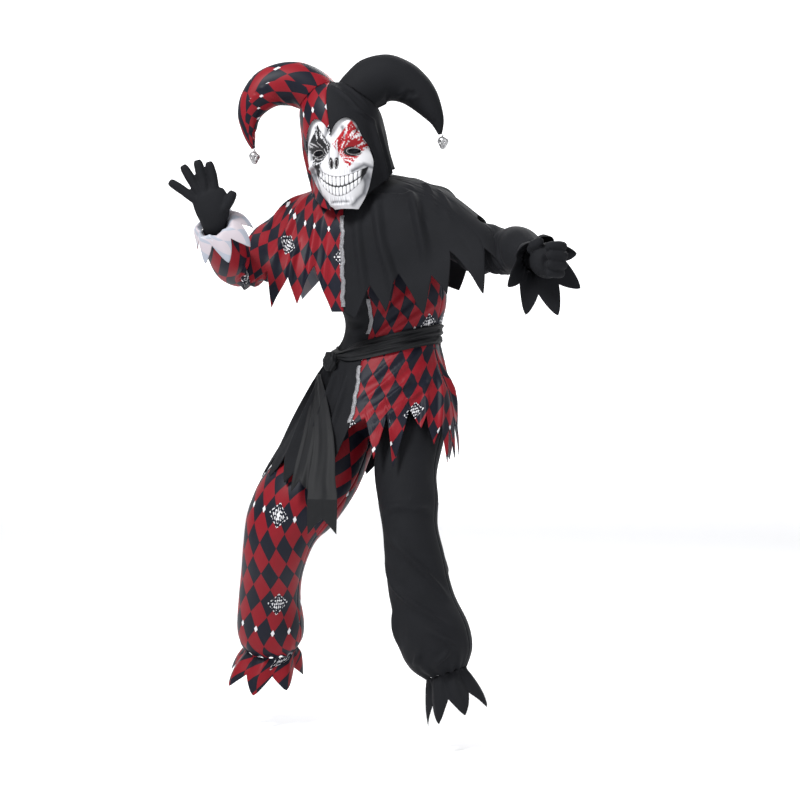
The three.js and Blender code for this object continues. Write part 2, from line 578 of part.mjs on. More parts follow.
const CUFF_LEFT_ROWS = [
  { x: 353, y: -346, z: -191, half: 42 },
  { x: 358, y: -358, z: -203, half: 58 },
  { x: 363, y: -366, z: -217, half: 70 },
  { x: 367, y: -370, z: -230, half: 80 },
];
const CUFF_RIGHT_ROWS = [
  { x: -308, y: -213, z: -104, half: 40 },
  { x: -301, y: -210, z: -113, half: 51 },
  { x: -292, y: -205, z: -129, half: 57 },
  { x: -286, y: -200, z: -146, half: 60 },
];
frill('cuff_left', sleeveLeft.limb, CUFF_LEFT_ROWS, {
  points: 7, notch: 2.2, tip: 3.9, wave: 4, facing: -1, colour: COLOURS.black });
frill('cuff_right', sleeveRight.limb, CUFF_RIGHT_ROWS, {
  points: 7, notch: 2.2, tip: 3.9, wave: 4, facing: 1, colour: COLOURS.print });

// Trousers: each leg is a front and a back, joined at the side, the inside leg and the centre
const HIP_ROWS = [
  { x: 53, y: 14, z: -345, half: 100, front: 80, back: 76 },
  { x: 50, y: 12, z: -405, half: 110, front: 88, back: 88 },
  { x: 46, y: 8, z: -470, half: 122, front: 98, back: 100 },
];
const LEG_LEFT_ROWS = [
  { x: 100, y: -48, z: -550, half: 71, deep: 82 },
  { x: 89, y: -104, z: -625, half: 66, deep: 75 },
  { x: 95, y: -142, z: -690, half: 63, deep: 70 },
  { x: 99, y: -165, z: -745, half: 57, deep: 66 },
  { x: 109, y: -176, z: -812, half: 63, deep: 68 },
  { x: 124, y: -186, z: -893, half: 67, deep: 72 },
  { x: 147, y: -198, z: -964, half: 76, deep: 80 },
  { x: 163, y: -203, z: -1010, half: 68, deep: 72 },
  { x: 174, y: -207, z: -1042, half: 43, deep: 44 },
];
const LEG_RIGHT_ROWS = [
  { x: -54, y: 12, z: -550, half: 78, deep: 82 },
  { x: -94, y: -20, z: -628, half: 92, deep: 78 },
  { x: -146, y: -50, z: -692, half: 98, deep: 82 },
  { x: -178, y: -50, z: -744, half: 82, deep: 80 },
  { x: -193, y: -36, z: -797, half: 72, deep: 75 },
  { x: -204, y: -8, z: -850, half: 67, deep: 70 },
  { x: -211, y: 22, z: -908, half: 68, deep: 70 },
  { x: -211, y: 46, z: -966, half: 74, deep: 75 },
  { x: -211, y: 60, z: -1002, half: 70, deep: 72 },
  { x: -211, y: 68, z: -1024, half: 56, deep: 57 },
];
const hipRings = HIP_ROWS.map((row) => bodyRing(row));
const LEG_STEPS = [0, 0.09, 0.18, 0.27, 0.36, 0.46, 0.57, 0.68, 0.78, 0.87, 0.94, 1];

// Point of one half of a leg. Down to row 2 it follows its quarter of the hips, and from row 3 the leg.
// Angle 0 is the outer side, 90 the front, 180 the inside leg and 270 the back.
function legRings(side, rows) {
  return limbRings(rows, CHEST_LEFT.clone().multiplyScalar(side === 'left' ? 1 : -1), CHEST_FRONT);
}
function legSurface(rows, side, half) {
  const limb = legRings(side, rows);
  return (degrees, along) => {
    const quarter = half === 'front' ? degrees / 2 : 180 + degrees / 2;
    const hip = ringPoint(through(hipRings, Math.min(along, 2)), side === 'left' ? quarter : 180 - quarter);
    if (along <= 2) return hip;
    if (along < 3) return hip.lerp(ringPoint(limb[0], degrees), along - 2);
    return ringPoint(through(limb, along - 3), degrees);
  };
}
for (const [side, rows, facing, colour] of [
  ['left', LEG_LEFT_ROWS, -1, COLOURS.black], ['right', LEG_RIGHT_ROWS, 1, COLOURS.print]]) {
  for (const [half, from] of [['front', 0], ['back', 180]]) {
    const surface = legSurface(rows, side, half);
    const steps = [0, 1, 2, 2.5, ...LEG_STEPS.map((share) => 3 + share * (rows.length - 1))];
    const places = panelPlaces(spread(from, from + 180, 8), 0, () => 1, steps);
    add(`trouser_${side}_${half}`, surfaceWall(surface, places, { facing }), colour);
  }
}

// Elastic waistband on top of the trousers
{
  const lower = bodyRing({ ...HIP_ROWS[0], z: HIP_ROWS[0].z + SEAM_GAP });
  const upper = bodyRing({ ...HIP_ROWS[0], z: HIP_ROWS[0].z + 26 });
  const grid = tubeTurns(24).map((turn) => [ringPoint(upper, turn), ringPoint(lower, turn)]);
  add('waistband', clothWall(grid, { closed: true, thick: 2 }), COLOURS.black);
}

const FRILL_LEFT_ROWS = [
  { x: 180, y: -210, z: -1060, half: 47, deep: 50 },
  { x: 187, y: -212, z: -1082, half: 54, deep: 60 },
  { x: 194, y: -214, z: -1106, half: 60, deep: 66 },
  { x: 200, y: -216, z: -1130, half: 62, deep: 70 },
];
const FRILL_RIGHT_ROWS = [
  { x: -214, y: 72, z: -1040, half: 64, deep: 68 },
  { x: -219, y: 75, z: -1056, half: 71, deep: 78 },
  { x: -223, y: 77, z: -1074, half: 76, deep: 84 },
  { x: -226, y: 79, z: -1092, half: 79, deep: 88 },
];
frill('frill_left', legRings('left', LEG_LEFT_ROWS), FRILL_LEFT_ROWS, {
  points: 7, notch: 2.3, tip: 4, wave: 5, facing: -1, colour: COLOURS.black });
frill('frill_right', legRings('right', LEG_RIGHT_ROWS), FRILL_RIGHT_ROWS, {
  points: 7, notch: 2.2, tip: 4, wave: 5, facing: 1, colour: COLOURS.print });

// Sash: a pleated band round the waist, a knot over the right hip, and two hanging tails.
// The upper and lower edge are heights at the left, front, right and back.
const SASH_EDGES = { upper: [-308, -343, -352, -328], lower: [-352, -386, -398, -372] };
const SASH_PLEATS = [[0, 2.4], [0.16, 5], [0.33, 3.4], [0.5, 6], [0.68, 3.6], [0.84, 5.4], [1, 2.6]];

function onTunic(degrees, along, lift) {
  const ring = through(tunicRings, along);
  const point = ringPoint(ring, degrees);
  const outwards = point.clone().sub(v3(ring[0], ring[1], point.z)).normalize();
  return point.addScaledVector(outwards, lift);
}
function edgeHeight([left, front, right, back], degrees) {
  const [c, s, d] = [Math.cos(degrees * RAD), Math.sin(degrees * RAD), Math.cos(2 * degrees * RAD)];
  const mean = (left + front + right + back) / 4;
  return mean + ((left - right) / 2) * c + ((front - back) / 2) * s + ((left + right - front - back) / 4) * d;
}
{
  const grid = tubeTurns(24).map((turn) => SASH_PLEATS.map(([s, lift]) => {
    const upper = edgeHeight(SASH_EDGES.upper, turn);
    const height = upper + (edgeHeight(SASH_EDGES.lower, turn) - upper) * s;
    return onTunic(turn, alongAt(TUNIC_ROWS, height), lift + SASH_CLOTH);
  }));
  add('sash_wrap', clothWall(grid, { closed: true, thick: SASH_CLOTH }), COLOURS.sash);
}

const KNOT_ROWS = [
  { z: -368, half: 9, deep: 6 },
  { z: -376, half: 15, deep: 10 },
  { z: -388, half: 17, deep: 12 },
  { z: -400, half: 15, deep: 11 },
  { z: -410, half: 10, deep: 8 },
];
{
  const seat = onTunic(119, alongAt(TUNIC_ROWS, -390), 21);
  const grid = tubeTurns(12).map((turn) => KNOT_ROWS.map(({ z, half, deep }) => {
    const crease = 1 + 0.1 * Math.cos(3 * turn * RAD + z / 9);
    return v3(seat.x, seat.y, z)
      .addScaledVector(leftOf(45), half * crease * Math.cos(turn * RAD))
      .addScaledVector(frontOf(45), deep * crease * Math.sin(turn * RAD));
  }));
  add('sash_knot', solidTube(grid), COLOURS.sash);
}

// Tails of the sash by place on the tunic, width and free drop below it; the last row is notched
const TAIL_FRONT_ROWS = [
  { angle: 138, along: 8.28, width: 24, drop: 0 },
  { angle: 127, along: 8.7, width: 34, drop: 0 },
  { angle: 115, along: 9.3, width: 40, drop: 0 },
  { angle: 106, along: 9.9, width: 46, drop: 0 },
  { angle: 99, along: 10.5, width: 54, drop: 0 },
  { angle: 96, along: 11, width: 62, drop: 0 },
  { angle: 94, along: 11.5, width: 66, drop: 0 },
  { angle: 93.5, along: 12, width: 68, drop: 0 },
  { angle: 93.5, along: 12, width: 68, drop: 33 },
  { angle: 93.5, along: 12, width: 66, drop: 66 },
];
const TAIL_BACK_ROWS = [
  { angle: 141, along: 8.28, width: 20, drop: 0 },
  { angle: 133, along: 8.8, width: 26, drop: 0 },
  { angle: 124, along: 9.4, width: 32, drop: 0 },
  { angle: 117, along: 10, width: 36, drop: 0 },
  { angle: 112, along: 10.6, width: 40, drop: 0 },
  { angle: 109, along: 11.2, width: 42, drop: 0 },
];
function tail(name, rows, lift, notches) {
  const columns = notches.length;
  const grid = notches.map((notch, i) => rows.map(({ angle, along, width, drop }, j) => {
    const middle = onTunic(angle, along, lift);
    const beside = onTunic(angle + 1, along, lift).sub(middle).normalize();
    const across = (i / (columns - 1) - 0.5) * width;
    const fold = i % 2 ? 3 : 0;
    const point = middle.addScaledVector(beside, across).addScaledVector(CHEST_FRONT, fold);
    return point.addScaledVector(UP, -drop - (j === rows.length - 1 ? notch : 0));
  }));
  add(name, clothWall(grid, { thick: SASH_CLOTH }), COLOURS.sash);
}
tail('sash_tail_front', TAIL_FRONT_ROWS, 12, [6, -12, -26, -10, 8]);
tail('sash_tail_back', TAIL_BACK_ROWS, 7.5, [10, -12, 14]);

// Gloves: one hollow body of a palm and five fingers, open at the wrist
function fingerTube([radius, ...points], inset) {
  const last = points.length - 1;
  const rows = points.map(([x, y, z], i) => {
    const half = radius - inset - (i === last ? radius * 0.35 : 0);
    return { x, y, z, half, deep: half };
  });
  const rings = limbRings(rows, v3(0.3, -1, 0.2), v3(1, 0, 0));
  return solidTube(tubeTurns(5).map((turn) => rings.map((ring) => ringPoint(ring, turn))));
}
function palmTube(rows, zero, quarter, inset) {
  const thinner = rows.map((row) => ({ ...row, half: row.half - inset, deep: row.deep - inset }));
  const rings = limbRings(thinner, zero, quarter);
  return solidTube(tubeTurns(10).map((turn) => rings.map((ring) => ringPoint(ring, turn))));
}
// reach is a row outside the wrist, so that the hollow runs out through it
function glove(name, palm, zero, quarter, fingers, reach) {
  const outer = united([palmTube(palm, zero, quarter, 0), ...fingers.map((finger) => fingerTube(finger, 0))]);
  const [before, final] = palm.slice(-2);
  const short = Object.fromEntries(Object.keys(final).map((key) => [key, 0.2 * before[key] + 0.8 * final[key]]));
  const hollow = [reach, ...palm.slice(1, -1), short];
  const inner = united([
    palmTube(hollow, zero, quarter, GLOVE_CLOTH), ...fingers.map((finger) => fingerTube(finger, GLOVE_CLOTH))]);
  add(name, fromSolid(outer.subtract(inner)), COLOURS.black);
}
const PALM_RIGHT = [
  { x: -307, y: -196, z: -124, half: 25, deep: 23 },
  { x: -310, y: -214, z: -106, half: 26, deep: 21 },
  { x: -311, y: -224, z: -88, half: 34, deep: 17 },
  { x: -314, y: -229, z: -66, half: 38, deep: 15 },
  { x: -321, y: -231, z: -46, half: 35, deep: 12 },
  { x: -323, y: -231, z: -36, half: 26, deep: 7 },
];
glove('glove_right', PALM_RIGHT, v3(1, 0, 0), v3(0, -1, 0), [
  [9.5, [-336, -230, -66], [-371, -231, -40], [-401, -234, -20]],
  [10, [-332, -231, -54], [-352, -232, -22], [-373, -236, 13]],
  [10.5, [-324, -231, -52], [-333, -232, -14], [-343, -237, 24]],
  [10, [-308, -231, -56], [-310, -232, -18], [-319, -240, 20]],
  [10.5, [-300, -228, -88], [-281, -234, -68], [-267, -239, -41]],
], { x: -304, y: -180, z: -138, half: 25, deep: 23 });

const PALM_LEFT = [
  { x: 345, y: -318, z: -184, half: 24, deep: 24 },
  { x: 356, y: -342, z: -189, half: 25, deep: 25 },
  { x: 364, y: -368, z: -193, half: 33, deep: 31 },
  { x: 370, y: -392, z: -196, half: 36, deep: 35 },
  { x: 373, y: -412, z: -198, half: 33, deep: 32 },
  { x: 375, y: -424, z: -199, half: 22, deep: 22 },
];
glove('glove_left', PALM_LEFT, UP, v3(-0.92, -0.39, 0), [
  [10, [378, -392, -182], [397, -418, -171], [364, -434, -171]],
  [10, [380, -392, -192], [399, -420, -189], [365, -437, -189]],
  [10, [380, -392, -203], [398, -418, -207], [365, -435, -207]],
  [9, [378, -392, -210], [394, -414, -223], [365, -429, -223]],
  [10, [366, -376, -186], [338, -396, -172], [356, -424, -159]],
], { x: 339, y: -300, z: -180, half: 24, deep: 24 });

export default costume;
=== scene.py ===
import bpy
import bmesh
import numpy as np
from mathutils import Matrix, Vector


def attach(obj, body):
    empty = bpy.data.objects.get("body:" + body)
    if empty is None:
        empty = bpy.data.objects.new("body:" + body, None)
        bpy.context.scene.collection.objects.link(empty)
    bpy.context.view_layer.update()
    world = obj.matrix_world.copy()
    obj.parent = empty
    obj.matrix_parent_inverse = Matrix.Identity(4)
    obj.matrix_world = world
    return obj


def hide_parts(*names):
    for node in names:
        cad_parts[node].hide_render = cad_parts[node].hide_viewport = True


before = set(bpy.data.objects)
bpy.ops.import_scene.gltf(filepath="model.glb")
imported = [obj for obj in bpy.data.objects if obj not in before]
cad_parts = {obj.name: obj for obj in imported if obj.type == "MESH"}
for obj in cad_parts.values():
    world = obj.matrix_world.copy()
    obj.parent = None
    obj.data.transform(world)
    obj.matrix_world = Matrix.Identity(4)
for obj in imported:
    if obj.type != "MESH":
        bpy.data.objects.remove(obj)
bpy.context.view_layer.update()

# Tunic: a loose polyester body of two fronts and two backs, black on the wearer's right and printed
# on the wearer's left, sewn at the sides and the centre. Its skirt is cut into long points.
# Sizes are millimetres, as in the cutting tables; the cloth is laid over rings round the body.
UP = np.array([0.0, 0.0, 1.0])
MM = 0.001
CHEST_TURN = 25  # degrees that the chest is turned to the wearer's right
SEAM_SINK, SEAM_WIDTH, SEAM_CALM = 1.1, 2.6, 16  # a seam's groove, and how near to it no fold comes
FOLD_GAIN, FOLD_FURROW, DEEPEST = 1.6, 0.35, -1.2


def left_of(turn):
    angle = np.radians(turn)
    return np.array([np.cos(angle), -np.sin(angle), 0])


def front_of(turn):
    angle = np.radians(turn)
    return np.array([-np.sin(angle), -np.cos(angle), 0])


def unit(vectors):
    return vectors / (np.linalg.norm(vectors, axis=-1, keepdims=True) + 1e-9)


def paired(a, b):
    return np.broadcast_arrays(np.asarray(a, float), np.asarray(b, float))


def curve(rows, t):
    """Smooth curve through the rows of a table, t from 0 to the last row."""
    rows = np.asarray(rows, float)
    last = len(rows) - 1
    t = np.clip(t, 0, last)
    i = np.minimum(np.floor(t).astype(int), last - 1)
    f = (t - i)[..., None]
    a, b, c, d = (rows[np.clip(i + k, 0, last)] for k in (-1, 0, 1, 2))
    return 0.5 * (2 * b + (c - a) * f + (2 * a - 5 * b + 4 * c - d) * f**2 + (3 * b - a - 3 * c + d) * f**3)


def on_rings(rings, degrees, along):
    """Points on rings: angle 0 is the wearer's left, 90 the front, 180 the right, 270 the back."""
    degrees, along = paired(degrees, along)
    ring = curve(rings, along).reshape(along.shape + (4, 3))
    t = np.radians(degrees)
    weights = np.stack([np.ones_like(t), np.cos(t), np.sin(t), np.cos(2 * t)], -1)
    return (weights[..., None] * ring).sum(-2)


def laid_on(rings):
    """The surface through rings, as a function of the angle and the row number."""
    return lambda degrees, along: on_rings(rings, degrees, along)


def ring_of(centre, across, deep):
    return np.concatenate([centre, across, deep, np.zeros(3)])


def body_rings(rows):
    rings = []
    for x, y, z, half, front, back, turn, dip in rows:
        centre = np.array([x, y, z]) + front_of(turn) * (front - back) / 2
        depth = front_of(turn) * (front + back) / 2 - UP * dip
        rings.append(ring_of(centre, left_of(turn) * half, depth))
    return np.array(rings)


def outward(surface, degrees, along):
    across = surface(degrees + 1, along) - surface(degrees - 1, along)
    down = surface(degrees, along + 0.04) - surface(degrees, along - 0.04)
    return unit(np.cross(across, down))


def flat_places(surface, degrees, along, seam):
    """Where each point lies on the flat cloth: across from a seam, and down from the top edge."""
    angles = np.linspace(degrees.min(), degrees.max(), 121)
    rows = np.linspace(along.min(), along.max(), 81)
    points = surface(angles[:, None] + 0 * rows, rows + 0 * angles[:, None])
    across = np.zeros(points.shape[:2])
    down = np.zeros(points.shape[:2])
    across[1:] = np.cumsum(np.linalg.norm(np.diff(points, axis=0), axis=-1), 0)
    down[:, 1:] = np.cumsum(np.linalg.norm(np.diff(points, axis=1), axis=-1), 1)
    across -= across[np.argmin(abs(angles - seam))]
    i = np.clip((degrees - angles[0]) / (angles[1] - angles[0]), 0, 119.999)
    j = np.clip((along - rows[0]) / (rows[1] - rows[0]), 0, 79.999)
    p, q = i.astype(int), j.astype(int)
    f, g = i - p, j - q

    def read(values):
        left = values[p, q] * (1 - f) + values[p + 1, q] * f
        right = values[p, q + 1] * (1 - f) + values[p + 1, q + 1] * f
        return left * (1 - g) + right * g

    return np.stack([read(across), read(down)], -1)


def creases(table, flat):
    """Height of the listed folds: rows of across, down, to across, to down, width and rise."""
    height = np.zeros(flat.shape[:-1])
    for x0, y0, x1, y1, width, rise in table:
        along = np.array([x1 - x0, y1 - y0], float)
        away = flat - np.array([x0, y0])
        t = np.clip((away @ along) / (along @ along), 0, 1)
        distance = np.linalg.norm(away - t[..., None] * along, axis=-1)
        ridge = np.exp(-((distance / (0.8 * width)) ** 2))
        ridge -= FOLD_FURROW * np.exp(-(((distance - 1.5 * width) / width) ** 2))
        height += FOLD_GAIN * rise * ridge * np.sin(np.pi * (0.04 + 0.92 * t))
    return np.maximum(height, DEEPEST)


def mesh_of(name, vertices, faces, materials=()):
    """An object of points in millimetres."""
    mesh = bpy.data.meshes.new(name)
    mesh.from_pydata((np.asarray(vertices) * MM).tolist(), [], faces)
    mesh.polygons.foreach_set("use_smooth", np.ones(len(mesh.polygons), bool))
    for item in materials:
        mesh.materials.append(item)
    obj = bpy.data.objects.new(name, mesh)
    bpy.context.collection.objects.link(obj)
    return obj


def cloth(name, outer, away, flat, materials, thick=1.6, closed=False, flip=False):
    """A thin cloth of an outer and an inner face. The second material is the reverse."""
    columns, rows = outer.shape[:2]
    vertices = np.concatenate([outer.reshape(-1, 3), (outer - away * thick).reshape(-1, 3)])
    spans = columns if closed else columns - 1
    i, j = [n.ravel() for n in np.meshgrid(np.arange(spans), np.arange(rows - 1), indexing="ij")]
    back = columns * rows

    def corner(i, j):
        return (i % columns) * rows + j

    quads = np.stack([corner(i, j), corner(i + 1, j), corner(i + 1, j + 1), corner(i, j + 1)], -1)
    places = np.stack([flat[i, j], flat[i + 1, j], flat[i + 1, j + 1], flat[i, j + 1]], 1)
    turned_over = [0, 3, 2, 1]  # the same diagonal as the outer face, so that the two don't cross
    faces = [quads, quads[:, turned_over] + back]
    uvs = [places, places[:, turned_over]]
    slots = [np.zeros(len(quads), int), np.ones(len(quads), int)]
    rims = [(np.arange(spans + 1), 0, True), (np.arange(spans + 1), rows - 1, False)]
    if not closed:
        rims += [(0, np.arange(rows), False), (columns - 1, np.arange(rows), True)]
    for p, q, turned in rims:
        p, q = np.broadcast_arrays(p, q)
        edge = corner(p, q)
        strip = np.stack([edge[1:], edge[:-1], edge[:-1] + back, edge[1:] + back], -1)
        place = np.stack([flat[p[1:], q[1:]], flat[p[:-1], q[:-1]], flat[p[:-1], q[:-1]], flat[p[1:], q[1:]]], 1)
        faces.append(strip if turned else strip[:, ::-1])
        uvs.append(place if turned else place[:, ::-1])
        slots.append(np.zeros(len(strip), int))
    faces, uvs = np.concatenate(faces), np.concatenate(uvs)
    if flip:
        faces, uvs = faces[:, ::-1], uvs[:, ::-1]
    obj = mesh_of(name, vertices, faces.tolist(), materials)
    layer = obj.data.uv_layers.new(name="cloth")
    layer.data.foreach_set("uv", (uvs.reshape(-1, 2) * MM).ravel())
    obj.data.polygons.foreach_set("material_index", np.concatenate(slots))
    return obj


def panel(name, surface, degrees, along, seam, table, materials, sign=1, closed=False, ripple=None, thick=1.6,
          print_scale=1.0):
    """A cut piece of cloth on a surface, sunk a little along its two side seams."""
    degrees, along = np.broadcast_arrays(degrees, along)
    flat = flat_places(surface, degrees, along, seam)
    rise = creases(table, flat)
    if ripple is not None:
        rise = rise + ripple(degrees, along)
    if not closed:
        beside = np.minimum(abs(flat[..., 0] - flat[:1, :, 0]), abs(flat[..., 0] - flat[-1:, :, 0]))
        rise = rise * (1 - np.exp(-((beside / SEAM_CALM) ** 2))) - SEAM_SINK * np.exp(-((beside / SEAM_WIDTH) ** 2))
    away = sign * outward(surface, degrees, along)
    outer = surface(degrees, along) + away * rise[..., None]
    columns = slice(None, -1) if closed else slice(None)
    return cloth(name, outer[columns], away[columns], flat * print_scale, materials, thick, closed, sign < 0)


def piece(obj, node):
    obj.name = obj.data.name = f"{node}_look"
    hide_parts(node)
    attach(obj, "root")
    return obj


def sewn(obj, node, slot, **cut):
    piece(obj, node)


def nodes_of(name, rough, sheen=0.0, specular=0.5):
    made = bpy.data.materials.new(name)
    made.use_nodes = True
    shader = made.node_tree.nodes["Principled BSDF"]
    fill(shader, {"Roughness": rough, "Sheen Weight": sheen, "Specular IOR Level": specular, "Sheen Roughness": 0.5})
    return made, made.node_tree, shader


def fill(node, values):
    """Give the inputs of a node their values, or the outputs that they are wired to."""
    for key, value in values.items():
        socket = node.inputs[key]
        if isinstance(value, Number):
            value = value.socket
        if isinstance(value, bpy.types.NodeSocket):
            node.id_data.links.new(value, socket)
        else:
            socket.default_value = value
    return node


class Number:
    """A number that a material's nodes work out, for use in plain formulas."""

    def __init__(self, socket):
        self.socket = socket

    def through(self, operation, *others):
        node = self.socket.id_data.nodes.new("ShaderNodeMath")
        node.operation = operation
        return Number(fill(node, dict(enumerate((self, *others)))).outputs[0])

    def __add__(self, other): return self.through("ADD", other)
    def __sub__(self, other): return self.through("SUBTRACT", other)
    def __mul__(self, other): return self.through("MULTIPLY", other)
    def __truediv__(self, other): return self.through("DIVIDE", other)
    def __mod__(self, other): return self.through("MODULO", other)
    def __lt__(self, other): return self.through("LESS_THAN", other)
    def __gt__(self, other): return self.through("GREATER_THAN", other)
    def __abs__(self): return self.through("ABSOLUTE")


def mixed(tree, share, a, b):
    node = tree.nodes.new("ShaderNodeMix")
    node.data_type = "RGBA"
    return fill(node, {0: share, 6: a, 7: b}).outputs[2]


def noise(tree, scale, detail=3.0, stretch=(1, 1, 1)):
    place = tree.nodes.new("ShaderNodeTexCoord").outputs["Object"]
    mapping = fill(tree.nodes.new("ShaderNodeMapping"), {"Scale": stretch, "Vector": place})
    node = tree.nodes.new("ShaderNodeTexNoise")
    return fill(node, {"Scale": scale, "Detail": detail, "Vector": mapping.outputs["Vector"]}).outputs["Fac"]


def bumped(tree, shader, height, strength, distance):
    node = fill(tree.nodes.new("ShaderNodeBump"), {"Strength": strength, "Distance": distance, "Height": height})
    fill(shader, {"Normal": node.outputs["Normal"]})


LOZENGE = (0.039, 0.072)  # width and height of a lozenge of the print, in metres
REPEAT = (4, 3)  # lozenges from one checked diamond to the next, across and down
RED = (0.2, 0.006, 0.013, 1)
DEEP_RED = (0.155, 0.0045, 0.009, 1)
NAVY = (0.0052, 0.0063, 0.0128, 1)
WHITE = (0.6, 0.6, 0.62, 1)
FADED_NAVY, FADED_RED, FADED_WHITE = (0.27, 0.29, 0.34, 1), (0.38, 0.34, 0.37, 1), (0.45, 0.46, 0.49, 1)


def lozenges(tree):
    """Shares of red and of white in the print, from the place on the flat cloth."""
    place = tree.nodes.new("ShaderNodeUVMap")
    place.uv_map = "cloth"
    split = fill(tree.nodes.new("ShaderNodeSeparateXYZ"), {0: place.outputs["UV"]})
    across, down = (Number(split.outputs[k]) / LOZENGE[k] for k in (0, 1))
    s, t = across + down + 400, across - down + 400
    red = (s.through("FLOOR") + t.through("FLOOR")) % 2
    near_s, near_t = s.through("ROUND"), t.through("ROUND")
    small = abs(s - near_s).through("MAXIMUM", abs(t - near_t)) < 0.115
    chosen = ((near_s * 3 + near_t * 5) % 8).through("COMPARE", 4, 0.5)
    # A checked diamond repeats over the cloth; it is smudged at its edge like a worn screen print.
    wide, high = across / REPEAT[0], down / REPEAT[1]
    p = (wide - wide.through("ROUND")) * REPEAT[0]
    q = (high - high.through("ROUND")) * REPEAT[1]
    size = abs(p) / 0.66 + abs(q) / 0.42
    checks = ((p + q) * 26).through("SINE") * ((p - q) * 26).through("SINE")
    smudged = checks + (Number(noise(tree, 320, 1)) - 0.5) * 2.6
    inner = size < 0.62
    line = abs(size - 0.86) < 0.06
    shown = (smudged > 0.16) * inner.through("MAXIMUM", line)
    return red * (size > 0.92), (small * chosen).through("MAXIMUM", shown)


def satin(name, rough, sheen, specular, navy, red_tint, white_tint):
    made, tree, shader = nodes_of(name, rough, sheen, specular)
    red, white = lozenges(tree)
    if red_tint == RED:
        red_tint = mixed(tree, noise(tree, 9, 2), DEEP_RED, RED)
    fill(shader, {"Base Color": mixed(tree, white, mixed(tree, red, navy, red_tint), white_tint)})
    bumped(tree, shader, noise(tree, 1500, 1), 0.12, 0.0004)
    return made


def knit(name, dark, light, rough=0.8, specular=0.14):
    made, tree, shader = nodes_of(name, rough, 0.0, specular)
    fill(shader, {"Base Color": mixed(tree, noise(tree, 26, 4), (*dark, 1), (*light, 1))})
    bumped(tree, shader, noise(tree, 1300, 2), 0.25, 0.0005)
    return made


BLACK = knit("black knit", (0.0055, 0.006, 0.0073), (0.0085, 0.009, 0.0112))
PRINTED = ([satin("harlequin satin", 0.5, 0.0, 0.15, NAVY, RED, WHITE),
            satin("harlequin satin reverse", 0.6, 0.2, 0.5, FADED_NAVY, FADED_RED, FADED_WHITE)], "print_satin")
PLAIN = ([BLACK, BLACK], "black_knit")
LIMBS = [("left", 1, *PLAIN), ("right", -1, *PRINTED)]  # side, turn of the cloth, cloth and slot

# columns: x, y, z, half width, front, back, turn, dip
TUNIC_ROWS = [
    (1, 0, -8, 58, 54, 56, 28, 22), (4, 4, -18, 100, 70, 70, 28, 12), (8, 6, -30, 142, 88, 86, 28, 6),
    (14, 8, -82, 152, 100, 100, 28, 0), (26, 12, -140, 144, 104, 100, 28, 0),
    (59, 14, -240, 131, 106, 92, 30, 0), (66, 18, -297, 113, 100, 90, 31, 0),
    (56, 20, -342, 112, 96, 92, 31, 0), (43, 16, -400, 137, 108, 106, 29, 0),
    (35, 4, -460, 164, 122, 124, 25, 0), (15, -30, -540, 193, 130, 142, 22, 0),
    (-13, -66, -640, 226, 134, 154, 20, 0), (-20, -80, -680, 234, 136, 160, 20, 0)]
tunic_rings = body_rings(TUNIC_ROWS)
tunic = laid_on(tunic_rings)
# columns: angle, row number of a notch or tip
SKIRT_HEM = [
    (0, 9.9), (6, 10.53), (11, 9.81), (17, 10.62), (21.5, 9.84), (29.5, 10.26), (36, 9.63), (40, 9.93),
    (48.5, 9.42), (58.5, 10.71), (65, 9.63), (70.5, 10.53), (80, 9.66), (90, 9.9), (95, 10.77),
    (100, 10.3), (106, 11.22), (114, 10.56), (123, 11.13), (133, 10.5), (142, 11.1), (150, 10.5),
    (158, 11), (167, 10.5), (175, 10.9), (180, 10.6), (190, 10.4), (200, 11), (210, 10.4), (220, 11),
    (230, 10.4), (240, 11), (250, 10.4), (260, 11), (270, 10.3), (280, 10.9), (290, 10.3), (300, 10.9),
    (310, 10.2), (320, 10.6), (330, 9.9), (340, 10.5), (350, 9.7), (360, 9.9)]
SKIRT_TOP = 8.6
ARMHOLE_TOP, ARMHOLE_BOTTOM, ARMHOLE_REACH = 2, 4, 32


def armhole(turn):
    """Reach in degrees and row number of the armhole's edge, turn 0 on top."""
    middle, half = (ARMHOLE_TOP + ARMHOLE_BOTTOM) / 2, (ARMHOLE_BOTTOM - ARMHOLE_TOP) / 2
    return ARMHOLE_REACH * np.sin(np.radians(turn)), middle - half * np.cos(np.radians(turn))


def between(values, count):
    """Each step of a list of numbers cut into a count of equal ones."""
    values = np.asarray(values, float)
    return np.interp(np.arange((len(values) - 1) * count + 1) / count, np.arange(len(values)), values)


# columns: across from the centre seam, down from the neck, to across, to down, width, rise
TUNIC_CREASES = {
    "tunic_front_left": [
        (-10, 340, -120, 305, 8, 4), (-20, 300, -110, 275, 8, 4), (-45, 350, -165, 325, 7, 4),
        (-8, 455, -95, 405, 8, 4.5), (-14, 490, -140, 418, 8, 5.5), (-24, 528, -165, 450, 8, 5.5),
        (-40, 565, -180, 485, 9, 5), (-85, 580, -110, 650, 10, 5),
        (-150, 500, -170, 640, 9, 6), (-180, 440, -205, 620, 9, 6)],
    "tunic_front_right": [
        (20, 290, 90, 330, 9, 5), (15, 320, 70, 350, 8, 4), (60, 400, 95, 640, 12, 8),
        (100, 410, 150, 690, 13, 9), (130, 410, 210, 680, 11, 7), (30, 420, 45, 600, 10, 6)],
    "tunic_back_right": [
        (-60, 260, -40, 350, 10, 5), (-120, 240, -90, 340, 10, 5), (-50, 400, -60, 640, 12, 8),
        (-110, 400, -150, 650, 13, 9), (-160, 400, -230, 640, 11, 7)],
    "tunic_back_left": [
        (60, 260, 40, 350, 10, 5), (120, 240, 90, 340, 10, 5), (50, 400, 60, 640, 12, 8),
        (110, 400, 140, 650, 13, 9), (165, 400, 215, 600, 11, 7)],
}
PRINT_SCALE = 1.17  # the print is a little smaller on the body than on the legs
